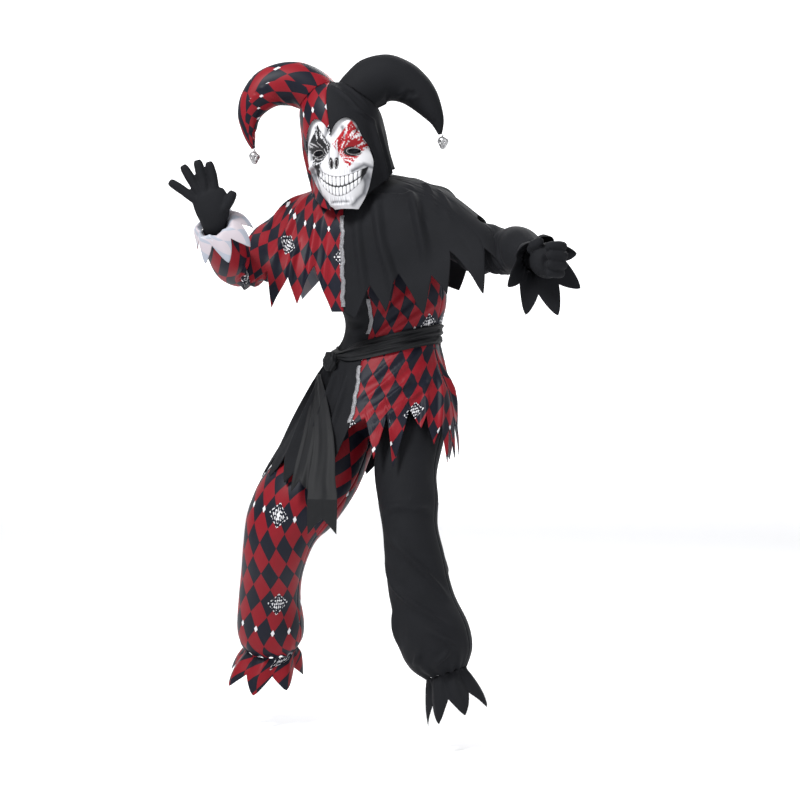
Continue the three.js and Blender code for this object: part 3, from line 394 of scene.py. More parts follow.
for node, side, middle, (stuff, slot), flat, area in [
        ("tunic_front_left", 0, 90, PRINTED, (0.27, 0.70), 0.112),
        ("tunic_front_right", 180, 90, PLAIN, (0.29, 0.77), 0.138),
        ("tunic_back_right", 180, 270, PLAIN, (0.29, 0.77), 0.131),
        ("tunic_back_left", 360, 270, PRINTED, (0.26, 0.70), 0.122)]:
    towards = np.sign(middle - side)
    hem_angles = [a for a, _ in SKIRT_HEM if min(side, middle) <= a <= max(side, middle)]
    hem = between(hem_angles[::int(towards)], 5)
    share = np.linspace(0, 1, len(hem))[:, None]
    even = side + (middle - side) * share
    reach, hole = armhole(np.linspace(0, 180, 19))
    reach = np.concatenate([np.zeros(8), reach, np.zeros(34)])
    upper = np.concatenate([np.linspace(0, 1.85, 8), hole, np.linspace(4.15, SKIRT_TOP, 34)])
    lower = np.linspace(0, 1, 25)[1:]
    tips = np.interp(hem, *np.array(SKIRT_HEM, float).T)[:, None]
    degrees = np.hstack([even + (1 - share) * towards * reach, even + (hem[:, None] - even) * lower])
    along = np.hstack([upper + 0 * even, SKIRT_TOP + (tips - SKIRT_TOP) * lower])
    if towards < 0:
        degrees, along = degrees[::-1], along[::-1]
    obj = panel(node, tunic, degrees, along, middle, TUNIC_CREASES[node], stuff, print_scale=PRINT_SCALE)
    sewn(obj, node, slot, flat=flat, held="gathered", rests_on=["sash_wrap"], area=area)

# Sleeves: tubes from the armhole to the wrist elastic, the right one printed, the left one black.
# They bag at the elbow and are gathered by the elastic.
# columns: x, y, z, half height, half depth
SLEEVE_ROWS = {
    "left": [
        (180, -86, -106, 52, 46), (222, -116, -136, 50, 42), (263, -134, -150, 52, 33),
        (296, -168, -159, 47, 34), (314, -225, -162, 50, 36), (326, -272, -168, 48, 42),
        (342, -312, -182, 39, 37), (350, -332, -187, 30, 30)],
    "right": [
        (-151, 34, -112, 46, 41), (-190, -3, -137, 45, 34), (-228, -28, -166, 45, 34),
        (-264, -44, -182, 45, 32), (-286, -88, -177, 46, 36), (-288, -138, -158, 45, 45),
        (-299, -180, -133, 38, 38), (-309, -204, -113, 30, 30)]}
# columns: across from the top, down from the armhole, to across, to down, width, rise
SLEEVE_CREASES = {
    "sleeve_left": [
        (60, 120, 150, 150, 9, 5), (40, 150, 140, 185, 8, 5), (50, 190, 150, 200, 8, 4), (90, 90, 190, 130, 9, 5),
        (30, 215, 120, 240, 8, 5), (120, 205, 200, 235, 8, 5), (10, 130, 30, 200, 8, 4), (200, 120, 260, 180, 9, 5),
        (60, 255, 110, 285, 6, 4), (150, 250, 190, 285, 6, 4)],
    "sleeve_right": [
        (-60, 110, -150, 150, 9, 5), (-90, 150, -180, 170, 8, 6), (-60, 185, -150, 195, 8, 5),
        (-110, 60, -60, 130, 9, 4), (-100, 215, -180, 235, 8, 6), (-30, 230, -90, 260, 7, 4),
        (-150, 250, -210, 270, 7, 4), (-200, 140, -250, 190, 9, 5)],
}


def limb_rings(rows, zero, quarter):
    rows = np.array(rows, float)
    centres = rows[:, :3]
    before, rings = quarter, []
    for k, (x, y, z, half, deep) in enumerate(rows):
        ahead = unit(curve(centres, np.array(k + 0.5)) - curve(centres, np.array(k - 0.5)))
        a = unit(zero - ahead * (zero @ ahead))
        b = np.cross(a, ahead)
        b = -b if b @ before < 0 else b
        before = b
        rings.append(ring_of((x, y, z), a * half, b * deep))
    return np.array(rings)


def sleeve(rings, side, towards):
    def surface(turn, along):
        turn, along = paired(turn, along)
        reach, row = armhole(turn)
        edge = tunic(side + towards * reach, row)
        arm = on_rings(rings, turn, np.maximum(along - 1, 0))
        share = np.clip(along, 0, 1)[..., None]
        return edge * (1 - share) + arm * share
    return surface


def gathers(count, end, reach, rise, start=None):
    """Small pleats that the elastic draws up towards an end of a tube."""
    def ripple(degrees, along):
        near = np.exp(-abs(along - end) / reach)
        if start is not None:
            near = near + 0.6 * np.exp(-abs(along - start) / reach)
        wander = 0.6 * np.sin(np.radians(degrees * 3) + along)
        return rise * near * np.cos(np.radians(degrees * count) + wander)
    return ripple


SLEEVE_CUT = {"left": ((0.35, 0.43), 0.11), "right": ((0.35, 0.49), 0.106)}
sleeve_rings = {}
for way, sign, stuff, slot in LIMBS:
    rows = SLEEVE_ROWS[way]
    rings = sleeve_rings[way] = limb_rings(rows, UP, front_of(CHEST_TURN))
    name = f"sleeve_{way}"
    obj = panel(name, sleeve(rings, 90 - 90 * sign, sign), np.linspace(0, 360, 97)[:, None],
                np.linspace(0, len(rows), 110), 180 - 180 * sign, SLEEVE_CREASES[name], stuff, sign, closed=True,
                ripple=gathers(17, len(rows), 0.5, 1.9))
    flat, area = SLEEVE_CUT[way]
    sewn(obj, name, slot, flat=flat, held="gathered", rests_on=[f"tunic_front_{way}"], area=area)

# Cuffs: beyond the wrist elastic the sleeve opens into a frill that is cut into seven points.
# Their pale reverse shows where they fall open round the glove.
# columns: x, y, z, half width
CUFF_ROWS = {
    "left": [
        (353, -346, -191, 42), (358, -358, -203, 58), (363, -366, -217, 70), (367, -370, -230, 80)],
    "right": [
        (-308, -213, -104, 40), (-301, -210, -113, 51), (-292, -205, -129, 57), (-286, -200, -146, 60)]}


def frill(name, limb, rows, points, notch, tip, wave, sign, materials):
    a, b, centre = limb[-1, 3:6], limb[-1, 6:9], limb[-1, :3]
    ahead = unit(centre - limb[-2, :3])
    rings = [ring_of(centre + ahead * 0.4, a, b)]
    for x, y, z, half, *deep in rows:
        rings.append(ring_of((x, y, z), unit(a) * half, unit(b) * (deep or [half])[0]))
    rings = np.array(rings)

    def surface(turn, along):
        turn, along = paired(turn, along)
        point = on_rings(rings, turn, along)
        middle = curve(rings, along)[..., :3]
        swell = wave * np.cos(np.radians(turn * points)) * np.minimum(1, along)
        pleats = 1.3 * np.cos(np.radians(turn * points * 3)) * np.exp(-along / 1.2)
        return point + unit(point - middle) * (swell + pleats)[..., None]

    turns = np.linspace(0, 360, points * 20 + 1)[:, None]
    across = abs(1 - 2 * ((turns * points / 360) % 1))
    hems = notch + (tip - notch) * across
    return panel(name, surface, turns, hems * np.linspace(0, 1, 26), 0, (), materials, sign, closed=True, thick=1.2)


CUFF_CUT = {"left": ((0.52, 0.10), 0.0202), "right": ((0.40, 0.085), 0.0169)}
for way, sign, stuff, slot in LIMBS:
    obj = frill(f"cuff_{way}", sleeve_rings[way], CUFF_ROWS[way], 7, 2.2, 3.9, 4, sign, stuff)
    flat, area = CUFF_CUT[way]
    sewn(obj, f"cuff_{way}", slot, flat=flat, held="gathered", rests_on=[f"sleeve_{way}"], area=area)

# Trousers: a front and a back for each leg, sewn at the side, the inside leg and the centre.
# The right leg is printed, the left one black; both blouse over an elastic at the ankle.
# columns: x, y, z, half width, front, back, turn, dip
HIP_ROWS = [
    (53, 14, -345, 100, 80, 76, 25, 0), (50, 12, -405, 110, 88, 88, 25, 0),
    (46, 8, -470, 122, 98, 100, 25, 0)]
# columns: x, y, z, half width, half depth
LEG_ROWS = {
    "left": [
        (100, -48, -550, 71, 82), (89, -104, -625, 66, 75), (95, -142, -690, 63, 70),
        (99, -165, -745, 57, 66), (109, -176, -812, 63, 68), (124, -186, -893, 67, 72),
        (147, -198, -964, 76, 80), (163, -203, -1010, 68, 72), (174, -207, -1042, 43, 44)],
    "right": [
        (-54, 12, -550, 78, 82), (-94, -20, -628, 92, 78), (-146, -50, -692, 98, 82),
        (-178, -50, -744, 82, 80), (-193, -36, -797, 72, 75), (-204, -8, -850, 67, 70),
        (-211, 22, -908, 68, 70), (-211, 46, -966, 74, 75), (-211, 60, -1002, 70, 72),
        (-211, 68, -1024, 56, 57)]}
# columns: across from the outer seam, down from the waist, to across, to down, width, rise
LEG_CREASES = {
    "trouser_left_front": [
        (125, 450, 15, 590, 10, 7), (165, 520, 50, 655, 12, 7), (100, 650, 40, 700, 11, 6), (60, 380, 150, 400, 12, 5),
        (20, 400, 120, 395, 10, 5), (150, 600, 200, 690, 12, 6), (60, 700, 90, 730, 9, 6), (120, 690, 150, 730, 9, 5)],
    "trouser_left_back": [(-60, 400, -160, 440, 12, 7), (-40, 520, -150, 600, 14, 8), (-120, 640, -60, 700, 12, 7)],
    "trouser_right_front": [
        (-180, 290, -60, 420, 12, 6), (-200, 330, -110, 480, 12, 7), (-150, 300, -40, 380, 11, 6),
        (-60, 470, -160, 500, 11, 6), (-50, 600, -150, 640, 11, 6), (-40, 660, -90, 700, 10, 7),
        (-130, 670, -170, 710, 10, 7)],
    "trouser_right_back": [(60, 380, 190, 420, 12, 7), (50, 470, 170, 520, 13, 8), (60, 620, 150, 660, 12, 7)],
}
LEG_CUT = {
    "trouser_left_front": ((0.25, 0.80), 0.158), "trouser_left_back": ((0.25, 0.85), 0.158),
    "trouser_right_front": ((0.285, 0.81), 0.179), "trouser_right_back": ((0.285, 0.87), 0.171)}
hip_rings = body_rings(HIP_ROWS)
leg_rings = {}


def leg(rings, side, half):
    def surface(degrees, along):
        degrees, along = paired(degrees, along)
        quarter = degrees / 2 if half == "front" else 180 + degrees / 2
        hip = on_rings(hip_rings, quarter if side == "left" else 180 - quarter, np.minimum(along, 2))
        limb = on_rings(rings, degrees, np.maximum(along - 3, 0))
        share = np.clip(along - 2, 0, 1)[..., None]
        return hip * (1 - share) + limb * share
    return surface


for side, sign, stuff, slot in LIMBS:
    rows = LEG_ROWS[side]
    rings = leg_rings[side] = limb_rings(rows, left_of(CHEST_TURN) * sign, front_of(CHEST_TURN))
    for half, start in [("front", 0), ("back", 180)]:
        name = f"trouser_{side}_{half}"
        degrees = np.linspace(start, start + 180, 61)[:, None]
        steps = np.linspace(0, 2 + len(rows), 150)
        obj = panel(name, leg(rings, side, half), degrees, steps, 0 if half == "front" else 360,
                    LEG_CREASES[name], stuff, sign, ripple=gathers(14, 2 + len(rows), 0.8, 3.0, start=0))
        flat, area = LEG_CUT[name]
        sewn(obj, name, slot, flat=flat, held="gathered", rests_on=["waistband"], area=area)

# Waistband: a tube of black cloth gathered on elastic, on top of the trousers and under the tunic.
waist = np.concatenate([hip_rings[:1], hip_rings[:1]])
waist[:, 2] += (26, 0.3)
obj = panel("waistband", laid_on(waist), np.linspace(0, 360, 181)[:, None], np.linspace(0, 1, 14),
            0, (), PLAIN[0], closed=True, thick=2, ripple=lambda d, a: 0.9 * np.cos(np.radians(d * 44)) - 0.9)
sewn(obj, "waistband", "black_knit", flat=(0.57, 0.028), held="gathered", rests_on=["trouser_left_front"])

# Ankle frills: what hangs beyond the ankle elastic, cut into points like the cuffs.
# columns: x, y, z, half width, half depth
FRILL_ROWS = {
    "left": [
        (180, -210, -1060, 47, 50), (187, -212, -1082, 54, 60), (194, -214, -1106, 60, 66),
        (200, -216, -1130, 62, 70)],
    "right": [
        (-214, 72, -1040, 64, 68), (-219, 75, -1056, 71, 78), (-223, 77, -1074, 76, 84),
        (-226, 79, -1092, 79, 88)]}
FRILL_CUT = {"left": ((0.45, 0.10), 0.028, 2.3), "right": ((0.55, 0.09), 0.0275, 2.2)}
for side, sign, stuff, slot in LIMBS:
    flat, area, notch = FRILL_CUT[side]
    obj = frill(f"frill_{side}", leg_rings[side], FRILL_ROWS[side], 7, notch, 4, 5, sign, stuff)
    sewn(obj, f"frill_{side}", slot, flat=flat, held="gathered", rests_on=[f"trouser_{side}_front"], area=area)

# Cape: two fronts and two backs over the shoulders, printed on the right and black on the left, sewn
# at the shoulders and the centre, with a deep zigzag hem. Its left side lies over the left sleeve.
# columns: the points of a row at the left, front, right and back
CAPE_ROWS = [
    ((50, -30, 16), (-26, -48, -14), (-50, 30, 8), (28, 52, 27)),
    ((110, -61, 4), (-42, -90, -46), (-112, 54, -3), (40, 98, 2)),
    ((174, -92, -24), (-46, -116, -95), (-158, 60, -26), (48, 124, -56)),
    ((236, -130, -74), (-46, -124, -150), (-206, 50, -66), (60, 134, -125)),
    ((286, -170, -122), (-45, -128, -205), (-254, -30, -118), (74, 140, -190)),
    ((304, -210, -182), (-44, -130, -262), (-268, -76, -190), (86, 142, -260)),
    ((312, -220, -240), (-43, -130, -322), (-274, -86, -256), (90, 142, -330))]
# columns: angle, row number of a notch or tip
CAPE_HEM_LEFT = [
    (0, 3.1), (8, 3.25), (13, 4.99), (22, 4.36), (27.5, 5.95), (41, 4), (46, 5.47), (52, 4.66),
    (57, 5.95), (66, 4.24), (72.5, 5.5), (78.5, 4.51), (85, 5.59), (90, 5.35)]
CAPE_HEM_RIGHT = [
    (90, 5.35), (95, 5.35), (104, 3.73), (111, 5.23), (116.5, 4.39), (124.5, 5.53), (129, 4.39),
    (140, 5.05), (151, 4.2), (164, 3.61), (180, 3.2)]
CAPE_HEM_BACK = [
    (180, 3.2), (190, 3.3), (199, 3.6), (208, 4.4), (216, 4.2), (224, 5.3), (233, 4.5), (242, 5.3),
    (251, 4.5), (260, 5.3), (270, 4.6), (280, 5.3), (289, 4.4), (298, 4.8), (307, 4.1), (316, 4.4),
    (325, 3.7), (334, 4), (343, 3.4), (352, 3.25), (360, 3.1)]
# columns: across from the centre seam, down from the neck, to across, to down, width, rise
CAPE_CREASES = {
    "cape_front_left": [
        (-70, 60, -110, 300, 14, 7), (-150, 70, -190, 260, 14, 9), (-195, 60, -215, 200, 10, 8),
        (-30, 80, -50, 290, 13, 5), (-232, 110, -245, 230, 10, 4), (-70, 62, -170, 118, 4, 3),
        (-100, 190, -130, 330, 12, 6)],
    "cape_front_right": [
        (60, 60, 80, 280, 13, 6), (130, 60, 160, 250, 13, 7), (200, 60, 220, 200, 12, 6), (20, 60, 60, 40, 8, 4),
        (35, 130, 45, 290, 11, 4), (110, 160, 120, 290, 11, 5)],
    "cape_back_right": [
        (-60, 60, -80, 270, 14, 8), (-140, 60, -180, 250, 14, 9), (-220, 50, -260, 180, 13, 7),
        (-100, 120, -120, 280, 12, 6)],
    "cape_back_left": [
        (60, 60, 80, 270, 14, 8), (140, 60, 170, 230, 14, 9), (220, 50, 250, 170, 13, 7), (100, 120, 115, 260, 12, 6)],
}


def four_point_ring(left, front, right, back):
    l, f, r, b = (np.array(p, float) for p in (left, front, right, back))
    return np.concatenate([(l + f + r + b) / 4, (l - r) / 2, (f - b) / 2, (l + r - f - b) / 4])


cape = laid_on(np.array([four_point_ring(*row) for row in CAPE_ROWS]))
for node, hem, seam, (stuff, slot), flat, area in [
        ("cape_front_left", CAPE_HEM_LEFT, 90, PLAIN, (0.36, 0.42), 0.0884),
        ("cape_front_right", CAPE_HEM_RIGHT, 90, PRINTED, (0.29, 0.35), 0.0648),
        ("cape_back_right", [row for row in CAPE_HEM_BACK if row[0] <= 270], 270, PRINTED, (0.34, 0.37), 0.0815),
        ("cape_back_left", [row for row in CAPE_HEM_BACK if row[0] >= 270], 270, PLAIN, (0.36, 0.36), 0.0836)]:
    angles = between([a for a, _ in hem], 10)[:, None]
    tips = np.interp(angles, *np.array(hem, float).T)
    obj = panel(node, cape, angles, tips * np.linspace(0, 1, 70), seam, CAPE_CREASES[node], stuff,
                print_scale=PRINT_SCALE)
    sewn(obj, node, slot, flat=flat, held="draped", rests_on=[node.replace("cape", "tunic")], area=area)

# Braid: silver cord woven flat, sewn over the centre seam of the cape, the body and the skirt.
SILVER, tree, shader = nodes_of("silver braid", 0.42, 0.3)
tint = mixed(tree, noise(tree, 420, 2, (1, 1, 0.5)), (0.02, 0.02, 0.024, 1), (0.34, 0.34, 0.36, 1))
fill(shader, {"Base Color": tint, "Metallic": 0.35})
bumped(tree, shader, noise(tree, 520, 2, (1, 1, 0.6)), 0.9, 0.0016)
STITCH, BRAID_HALF = 1.5, 4.5
for name, surface, first, last, length, base in [
        ("braid_cape", cape, 1.7, 5.2, 250, "cape_front_left"),
        ("braid_waist", tunic, 5.2, 6.75, 90, "tunic_front_left"),
        ("braid_skirt", tunic, 8, 9.8, 150, "tunic_front_left")]:
    steps = np.linspace(first, last, int(length / STITCH))
    middle = surface(90.0 + 0 * steps, steps)
    beside = unit(surface(91.0 + 0 * steps, steps) - middle)
    away = outward(surface, 90.0 + 0 * steps, steps)
    places = np.arange(len(steps)) * STITCH
    wander = 1.3 * np.sin(places / 11) + 0.7 * np.sin(places / 4.3)
    shares = np.linspace(-1, 1, 13)
    outer = []
    for share in shares:
        plait = 0.5 * np.cos(places * 1.4 + 5 * share) * (1 - share**2)
        lift = 1.7 + 1.5 * (1 - share**2) + plait
        half = BRAID_HALF + 0.4 * np.sin(places * 1.4)
        outer.append(middle + beside * (wander + share * half)[:, None] + away * lift[:, None])
    outer = np.array(outer)
    flat = np.stack(np.broadcast_arrays(shares[:, None] * BRAID_HALF, places), -1)
    obj = cloth(name, outer, away[None] + 0 * outer, flat, [SILVER, SILVER], 1.2)
    sewn(obj, name, "silver_braid", flat=(0.01, length * MM), held="laid", rests_on=[base])

# Sash: a long strip of grey-black satin, pleated round the waist and knotted over the right hip.
# Its two ends hang down the front; the ends are cut to a swallow tail.
SASH = knit("sash satin", (0.006, 0.0065, 0.0073), (0.0095, 0.010, 0.0115), 0.6, 0.16)
# heights of the sash's two edges at the left, front, right and back
SASH_UPPER = (-308, -343, -352, -328)
SASH_LOWER = (-352, -386, -398, -372)
tunic_heights = np.array(TUNIC_ROWS, float)[:, 2]


def row_at(height):
    return np.interp(-np.asarray(height, float), -tunic_heights, np.arange(len(tunic_heights)))


def over_tunic(degrees, along, lift):
    point = tunic(degrees, along)
    centre = curve(tunic_rings, along)[..., :3].copy()
    centre[..., 2] = point[..., 2]
    return point + unit(point - centre) * np.asarray(lift, float)[..., None]


def edge_height(edge, degrees):
    left, front, right, back = edge
    t = np.radians(degrees)
    return ((left + front + right + back) / 4 + (left - right) / 2 * np.cos(t) + (front - back) / 2 * np.sin(t)
            + (left + right - front - back) / 4 * np.cos(2 * t))


def sash_band(degrees, along):
    degrees, along = paired(degrees, along)
    upper, lower = edge_height(SASH_UPPER, degrees), edge_height(SASH_LOWER, degrees)
    pinch = 0.28 * np.exp(-(((degrees - 124) / 16) ** 2))
    share = pinch + (1 - 2 * pinch) * along
    pleats = 2.2 * np.sin(along * 17 + np.radians(degrees) * 1.3) + 1.1 * np.sin(along * 31 - np.radians(degrees) * 2)
    soft = 1.6 * np.sin(np.radians(degrees * 5) + along * 4)
    lift = 6.6 + (pleats + soft) * np.clip(np.sin(np.pi * along), 0, 1) ** 0.5 - 2.4 * abs(2 * along - 1) ** 3
    return over_tunic(degrees, row_at(upper + (lower - upper) * share), lift)


obj = panel("sash_wrap", sash_band, np.linspace(0, 360, 181)[:, None], np.linspace(0, 1, 46), 0, (), [SASH, SASH],
            closed=True)
sewn(obj, "sash_wrap", "sash_satin", flat=(0.78, 0.08), held="gathered", rests_on=["tunic_front_left"], area=0.038)

# columns: height, half width, half depth
KNOT_ROWS = [
    (-368, 9, 6), (-376, 15, 10), (-388, 17, 12), (-400, 15, 11), (-410, 10, 8)]
seat = over_tunic(np.array(119.0), row_at(-390), np.array(21.0))
knot_rings = np.array([ring_of((seat[0], seat[1], z), left_of(45) * half, front_of(45) * deep)
                       for z, half, deep in KNOT_ROWS])


def knot(degrees, along):
    point = on_rings(knot_rings, degrees, along)
    centre = curve(knot_rings, np.asarray(along, float) + 0 * np.asarray(degrees, float))[..., :3]
    t = np.radians(degrees)
    fold = 1 + 0.12 * np.cos(3 * t + along * 2.2) + 0.05 * np.cos(9 * t - along * 3)
    return centre + (point - centre) * fold[..., None]


obj = panel("sash_knot", knot, np.linspace(0, 360, 61)[:, None], np.linspace(0, 4, 40), 0, (), [SASH, SASH],
            closed=True)
piece(obj, "sash_knot")

# columns: angle, row number on the tunic, width, free drop
TAIL_FRONT_ROWS = [
    (138, 8.28, 24, 0), (127, 8.7, 34, 0), (115, 9.3, 40, 0), (106, 9.9, 46, 0), (99, 10.5, 54, 0),
    (96, 11, 62, 0), (94, 11.5, 66, 0), (93.5, 12, 68, 0), (93.5, 12, 68, 33), (93.5, 12, 66, 66)]
TAIL_BACK_ROWS = [
    (141, 8.28, 20, 0), (133, 8.8, 26, 0), (124, 9.4, 32, 0), (117, 10, 36, 0), (112, 10.6, 40, 0),
    (109, 11.2, 42, 0)]


def tail(name, rows, lift, notches):
    rows = np.array(rows, float)
    steps = np.linspace(0, len(rows) - 1, 120)
    fine = curve(rows, steps)
    fine[:, 3] = np.interp(steps, np.arange(len(rows)), rows[:, 3])
    fine[:, 1] = np.minimum(fine[:, 1], rows[:, 1].max())
    middle = over_tunic(fine[:, 0], fine[:, 1], lift + 0 * steps)
    beside = unit(over_tunic(fine[:, 0] + 1, fine[:, 1], lift + 0 * steps) - middle)
    shares = np.linspace(-0.5, 0.5, 41)
    cut = np.interp(shares, np.linspace(-0.5, 0.5, len(notches)), notches)
    front = front_of(CHEST_TURN)
    outer = []
    for share, notch in zip(shares, cut):
        fold = 1.5 + 1.3 * np.cos(share * 9 + steps * 0.3) + 0.5 * np.cos(share * 17 - steps * 0.5)
        drop = fine[:, 3] + notch * np.clip(steps - (len(rows) - 2), 0, 1)
        point = middle + beside * (share * fine[:, 2])[:, None] + front * fold[:, None] - UP * drop[:, None]
        outer.append(point)
    outer = np.array(outer)
    across = unit(np.gradient(outer, axis=0))
    down = unit(np.gradient(outer, axis=1))
    away = unit(np.cross(across, down))
    away = away * np.sign((away @ front).mean())
    lengths = np.concatenate([[0], np.cumsum(np.linalg.norm(np.diff(middle, axis=0), axis=-1))])
    flat = np.stack(np.broadcast_arrays(shares[:, None] * 50, lengths), -1)
    return cloth(name, outer, away, flat, [SASH, SASH], flip=(np.cross(across, down)[20, 60] @ front) < 0)


for name, rows, lift, notches, flat, area in [
        ("sash_tail_front", TAIL_FRONT_ROWS, 12, (6, -12, -26, -10, 8), (0.09, 0.36), 0.0213),
        ("sash_tail_back", TAIL_BACK_ROWS, 7.5, (10, -12, 14), (0.06, 0.30), 0.012)]:
    sewn(tail(name, rows, lift, notches), name, "sash_satin", flat=flat, held="hung", rests_on=["sash_knot"],
         area=area)

# Hood: two halves of cloth with a seam over the middle of the head, printed on the right and black on
# the left. The face edge is cut as an M with a peak on the brow; the hem lies over the cape.
# columns: x, y, z, half width, front, back, turn, dip
HOOD_ROWS = [
    (-66, -58, 216, 0, 0, 0, 15, 0), (-64, -58, 208, 36, 42, 44, 15, 0),
    (-60, -58, 190, 62, 74, 76, 15, 0), (-54, -58, 156, 85, 98, 100, 15, 0),
    (-46, -58, 112, 91, 107, 106, 15, 0), (-37, -57, 66, 92, 106, 102, 16, 0),
    (-28, -50, 24, 93, 98, 116, 18, 0), (-22, -38, -14, 97, 98, 150, 20, 0),
    (-17, -28, -46, 106, 108, 170, 22, 0), (-14, -22, -76, 116, 118, 180, 24, 0)]
# columns: angle, row number of the hem
HOOD_HEM = [
    (-90, 5.85), (-45, 5.75), (0, 5.9), (45, 7.2), (70, 8.4), (90, 8.8), (110, 8.4), (135, 7.6),
    (180, 6.6), (225, 5.95), (270, 5.85)]
# columns: across the face and height of the face opening, from its peak
FACE_OPENING = [
    (4, 84), (16, 110), (36, 124), (54, 114), (67, 86), (80, 62), (86, 40), (77, 10), (72, -22),
    (64, -48), (60, -130), (-2, -130), (-8, -48), (-26, -22), (-42, 8), (-58, 38), (-62, 62), (-57, 86),
    (-46, 110), (-29, 122), (-8, 110)]
HEAD_TURN = 15  # degrees that the head is turned to the wearer's right
HEAD_LEFT, HEAD_FRONT = left_of(HEAD_TURN), front_of(HEAD_TURN)
FACE_ORIGIN = np.array([-48.0, -58, 0])
# columns: across from the centre seam, down from the crown, to across, to down, width, rise
HOOD_CREASES = {
    "hood_left": [
        (-14, 40, -100, 118, 4.5, 3.4), (-16, 26, -118, 96, 4.5, 3.2), (-8, 62, -84, 146, 5, 2.8),
        (-55, 130, -116, 156, 5, 2.8), (-108, 150, -124, 330, 10, 5), (-135, 160, -140, 330, 9, 4),
        (-80, 300, -130, 350, 9, 4), (-60, 350, -140, 385, 10, 4)],
    "hood_right": [(30, 40, 90, 90, 7, 2), (110, 170, 120, 310, 9, 4), (80, 300, 130, 340, 9, 4)],
}
hood = laid_on(body_rings(HOOD_ROWS))


def faced_out(obj):
    """Turn the faces of a closed mesh outwards."""
    turned = bmesh.new()
    turned.from_mesh(obj.data)
    bmesh.ops.recalc_face_normals(turned, faces=turned.faces)
    turned.to_mesh(obj.data)
    turned.free()
    return obj


def prism(outline):
    """A block through the face, from an outline of across and height."""
    outline = np.array(outline, float)
    count = len(outline)
    points = FACE_ORIGIN + outline[:, :1] * HEAD_LEFT + outline[:, 1:] * UP
    vertices = np.concatenate([points + HEAD_FRONT * 20, points + HEAD_FRONT * 220])
    faces = [list(range(count)), list(range(2 * count - 1, count - 1, -1))]
    faces += [[k, k + count, (k + 1) % count + count, (k + 1) % count] for k in range(count)]
    return faced_out(mesh_of("block", vertices, faces))


def applied(obj):
    """Bake the modifiers of an object into its mesh."""
    done = bpy.data.meshes.new_from_object(obj.evaluated_get(bpy.context.evaluated_depsgraph_get()))
    obj.modifiers.clear()
    obj.data = done


def cut(obj, block):
    step = obj.modifiers.new("cut", "BOOLEAN")
    step.operation, step.solver, step.object = "DIFFERENCE", "EXACT", block
    applied(obj)
    bpy.data.objects.remove(block)


opening = np.array(FACE_OPENING + FACE_OPENING[:1], float)
opening = curve(opening, np.linspace(0, len(opening) - 1, 160))[:-1]
for name, start, (stuff, slot) in [("hood_left", -90, PLAIN), ("hood_right", 90, PRINTED)]:
    degrees = np.linspace(start, start + 180, 101)[:, None]
    hems = np.interp(degrees, *np.array(HOOD_HEM, float).T)
    steps = 0.03 + (hems - 0.03) * np.linspace(0, 1, 110)
    obj = panel(name, hood, degrees, steps, 90, HOOD_CREASES[name], stuff, print_scale=1.12)
    cut(obj, prism(opening))
    sewn(obj, name, slot, flat=(0.33, 0.36), held="draped", rests_on=["cape_front_left", "mask"], area=0.058)

# Horns: two stuffed tubes that curl outwards and down, sewn to the crown by their cut base.
# columns: x, y, z, half height, half depth
HORN_RIGHT_ROWS = [
    (-78, -58, 168, 46, 42), (-110, -58, 196, 48, 47), (-144, -58, 211, 46, 48), (-180, -59, 211, 43, 46),
    (-213, -60, 199, 38, 42), (-238, -61, 172, 32, 34), (-250, -62, 142, 24, 25),
    (-250, -63, 112, 16, 16), (-246, -64, 88, 9, 9), (-240, -64, 71, 4, 4)]
HORN_LEFT_ROWS = [
    (-36, -58, 168, 48, 44), (-8, -58, 196, 50, 50), (20, -58, 217, 49, 54), (50, -58, 225, 47, 51),
    (83, -58, 217, 43, 45), (109, -59, 200, 38, 39), (129, -60, 179, 32, 33), (146, -61, 154, 24, 24),
    (159, -62, 128, 13, 14), (164, -62, 102, 4, 4)]
HORN_CREASES = {
    "horn_left": [(20, 40, 60, 130, 9, -2), (150, 100, 175, 160, 8, -3), (160, 150, 180, 210, 8, -3),
                  (150, 200, 175, 240, 8, -2.5), (60, 240, 110, 300, 9, -2), (150, 20, 185, 80, 9, -3)],
    "horn_right": [(150, 80, 175, 130, 8, -3), (160, 140, 180, 190, 8, -2.5), (20, 150, 60, 220, 9, -2),
                   (140, 10, 170, 60, 9, -3)],
}


def tube_faces(columns, rows):
    quads = [[i * rows + j, (i + 1) % columns * rows + j, (i + 1) % columns * rows + j + 1, i * rows + j + 1]
             for i in range(columns) for j in range(rows - 1)]
    return quads + [[i * rows for i in range(columns)][::-1], [i * rows + rows - 1 for i in range(columns)]]


def dome():
    """The top of the hood as a closed block, which trims the base of a horn."""
    turns = np.linspace(-90, 270, 97)[:-1, None]
    steps = np.linspace(0.03, 5, 50)
    points = hood(turns, steps)
    points = points + outward(hood, turns + 0 * steps, steps + 0 * turns) * 0.3
    return faced_out(mesh_of("dome", points.reshape(-1, 3), tube_faces(len(turns), len(steps))))


for name, rows, sign, (stuff, slot) in [
        ("horn_right", HORN_RIGHT_ROWS, 1, PRINTED), ("horn_left", HORN_LEFT_ROWS, -1, PLAIN)]:
    obj = panel(name, laid_on(limb_rings(rows, HEAD_FRONT, UP)), np.linspace(0, 360, 97)[:, None],
                np.linspace(0, len(rows) - 1.05, 130), 90, HORN_CREASES[name], stuff, sign, closed=True)
    cut(obj, dome())
    piece(obj, name)

# Charms: small cast plastic skulls with an antique silver finish, on a ring through each horn tip.
METAL, tree, shader = nodes_of("antique silver", 0.32)
tint = mixed(tree, noise(tree, 160, 3), (0.10, 0.10, 0.10, 1), (0.72, 0.72, 0.73, 1))
fill(shader, {"Base Color": tint, "Metallic": 0.9})
CHARM_TURN = -0.25
RING_AROUND, RING_SECTION, RING_RADIUS, RING_WIRE = 24, 10, 3, 0.9


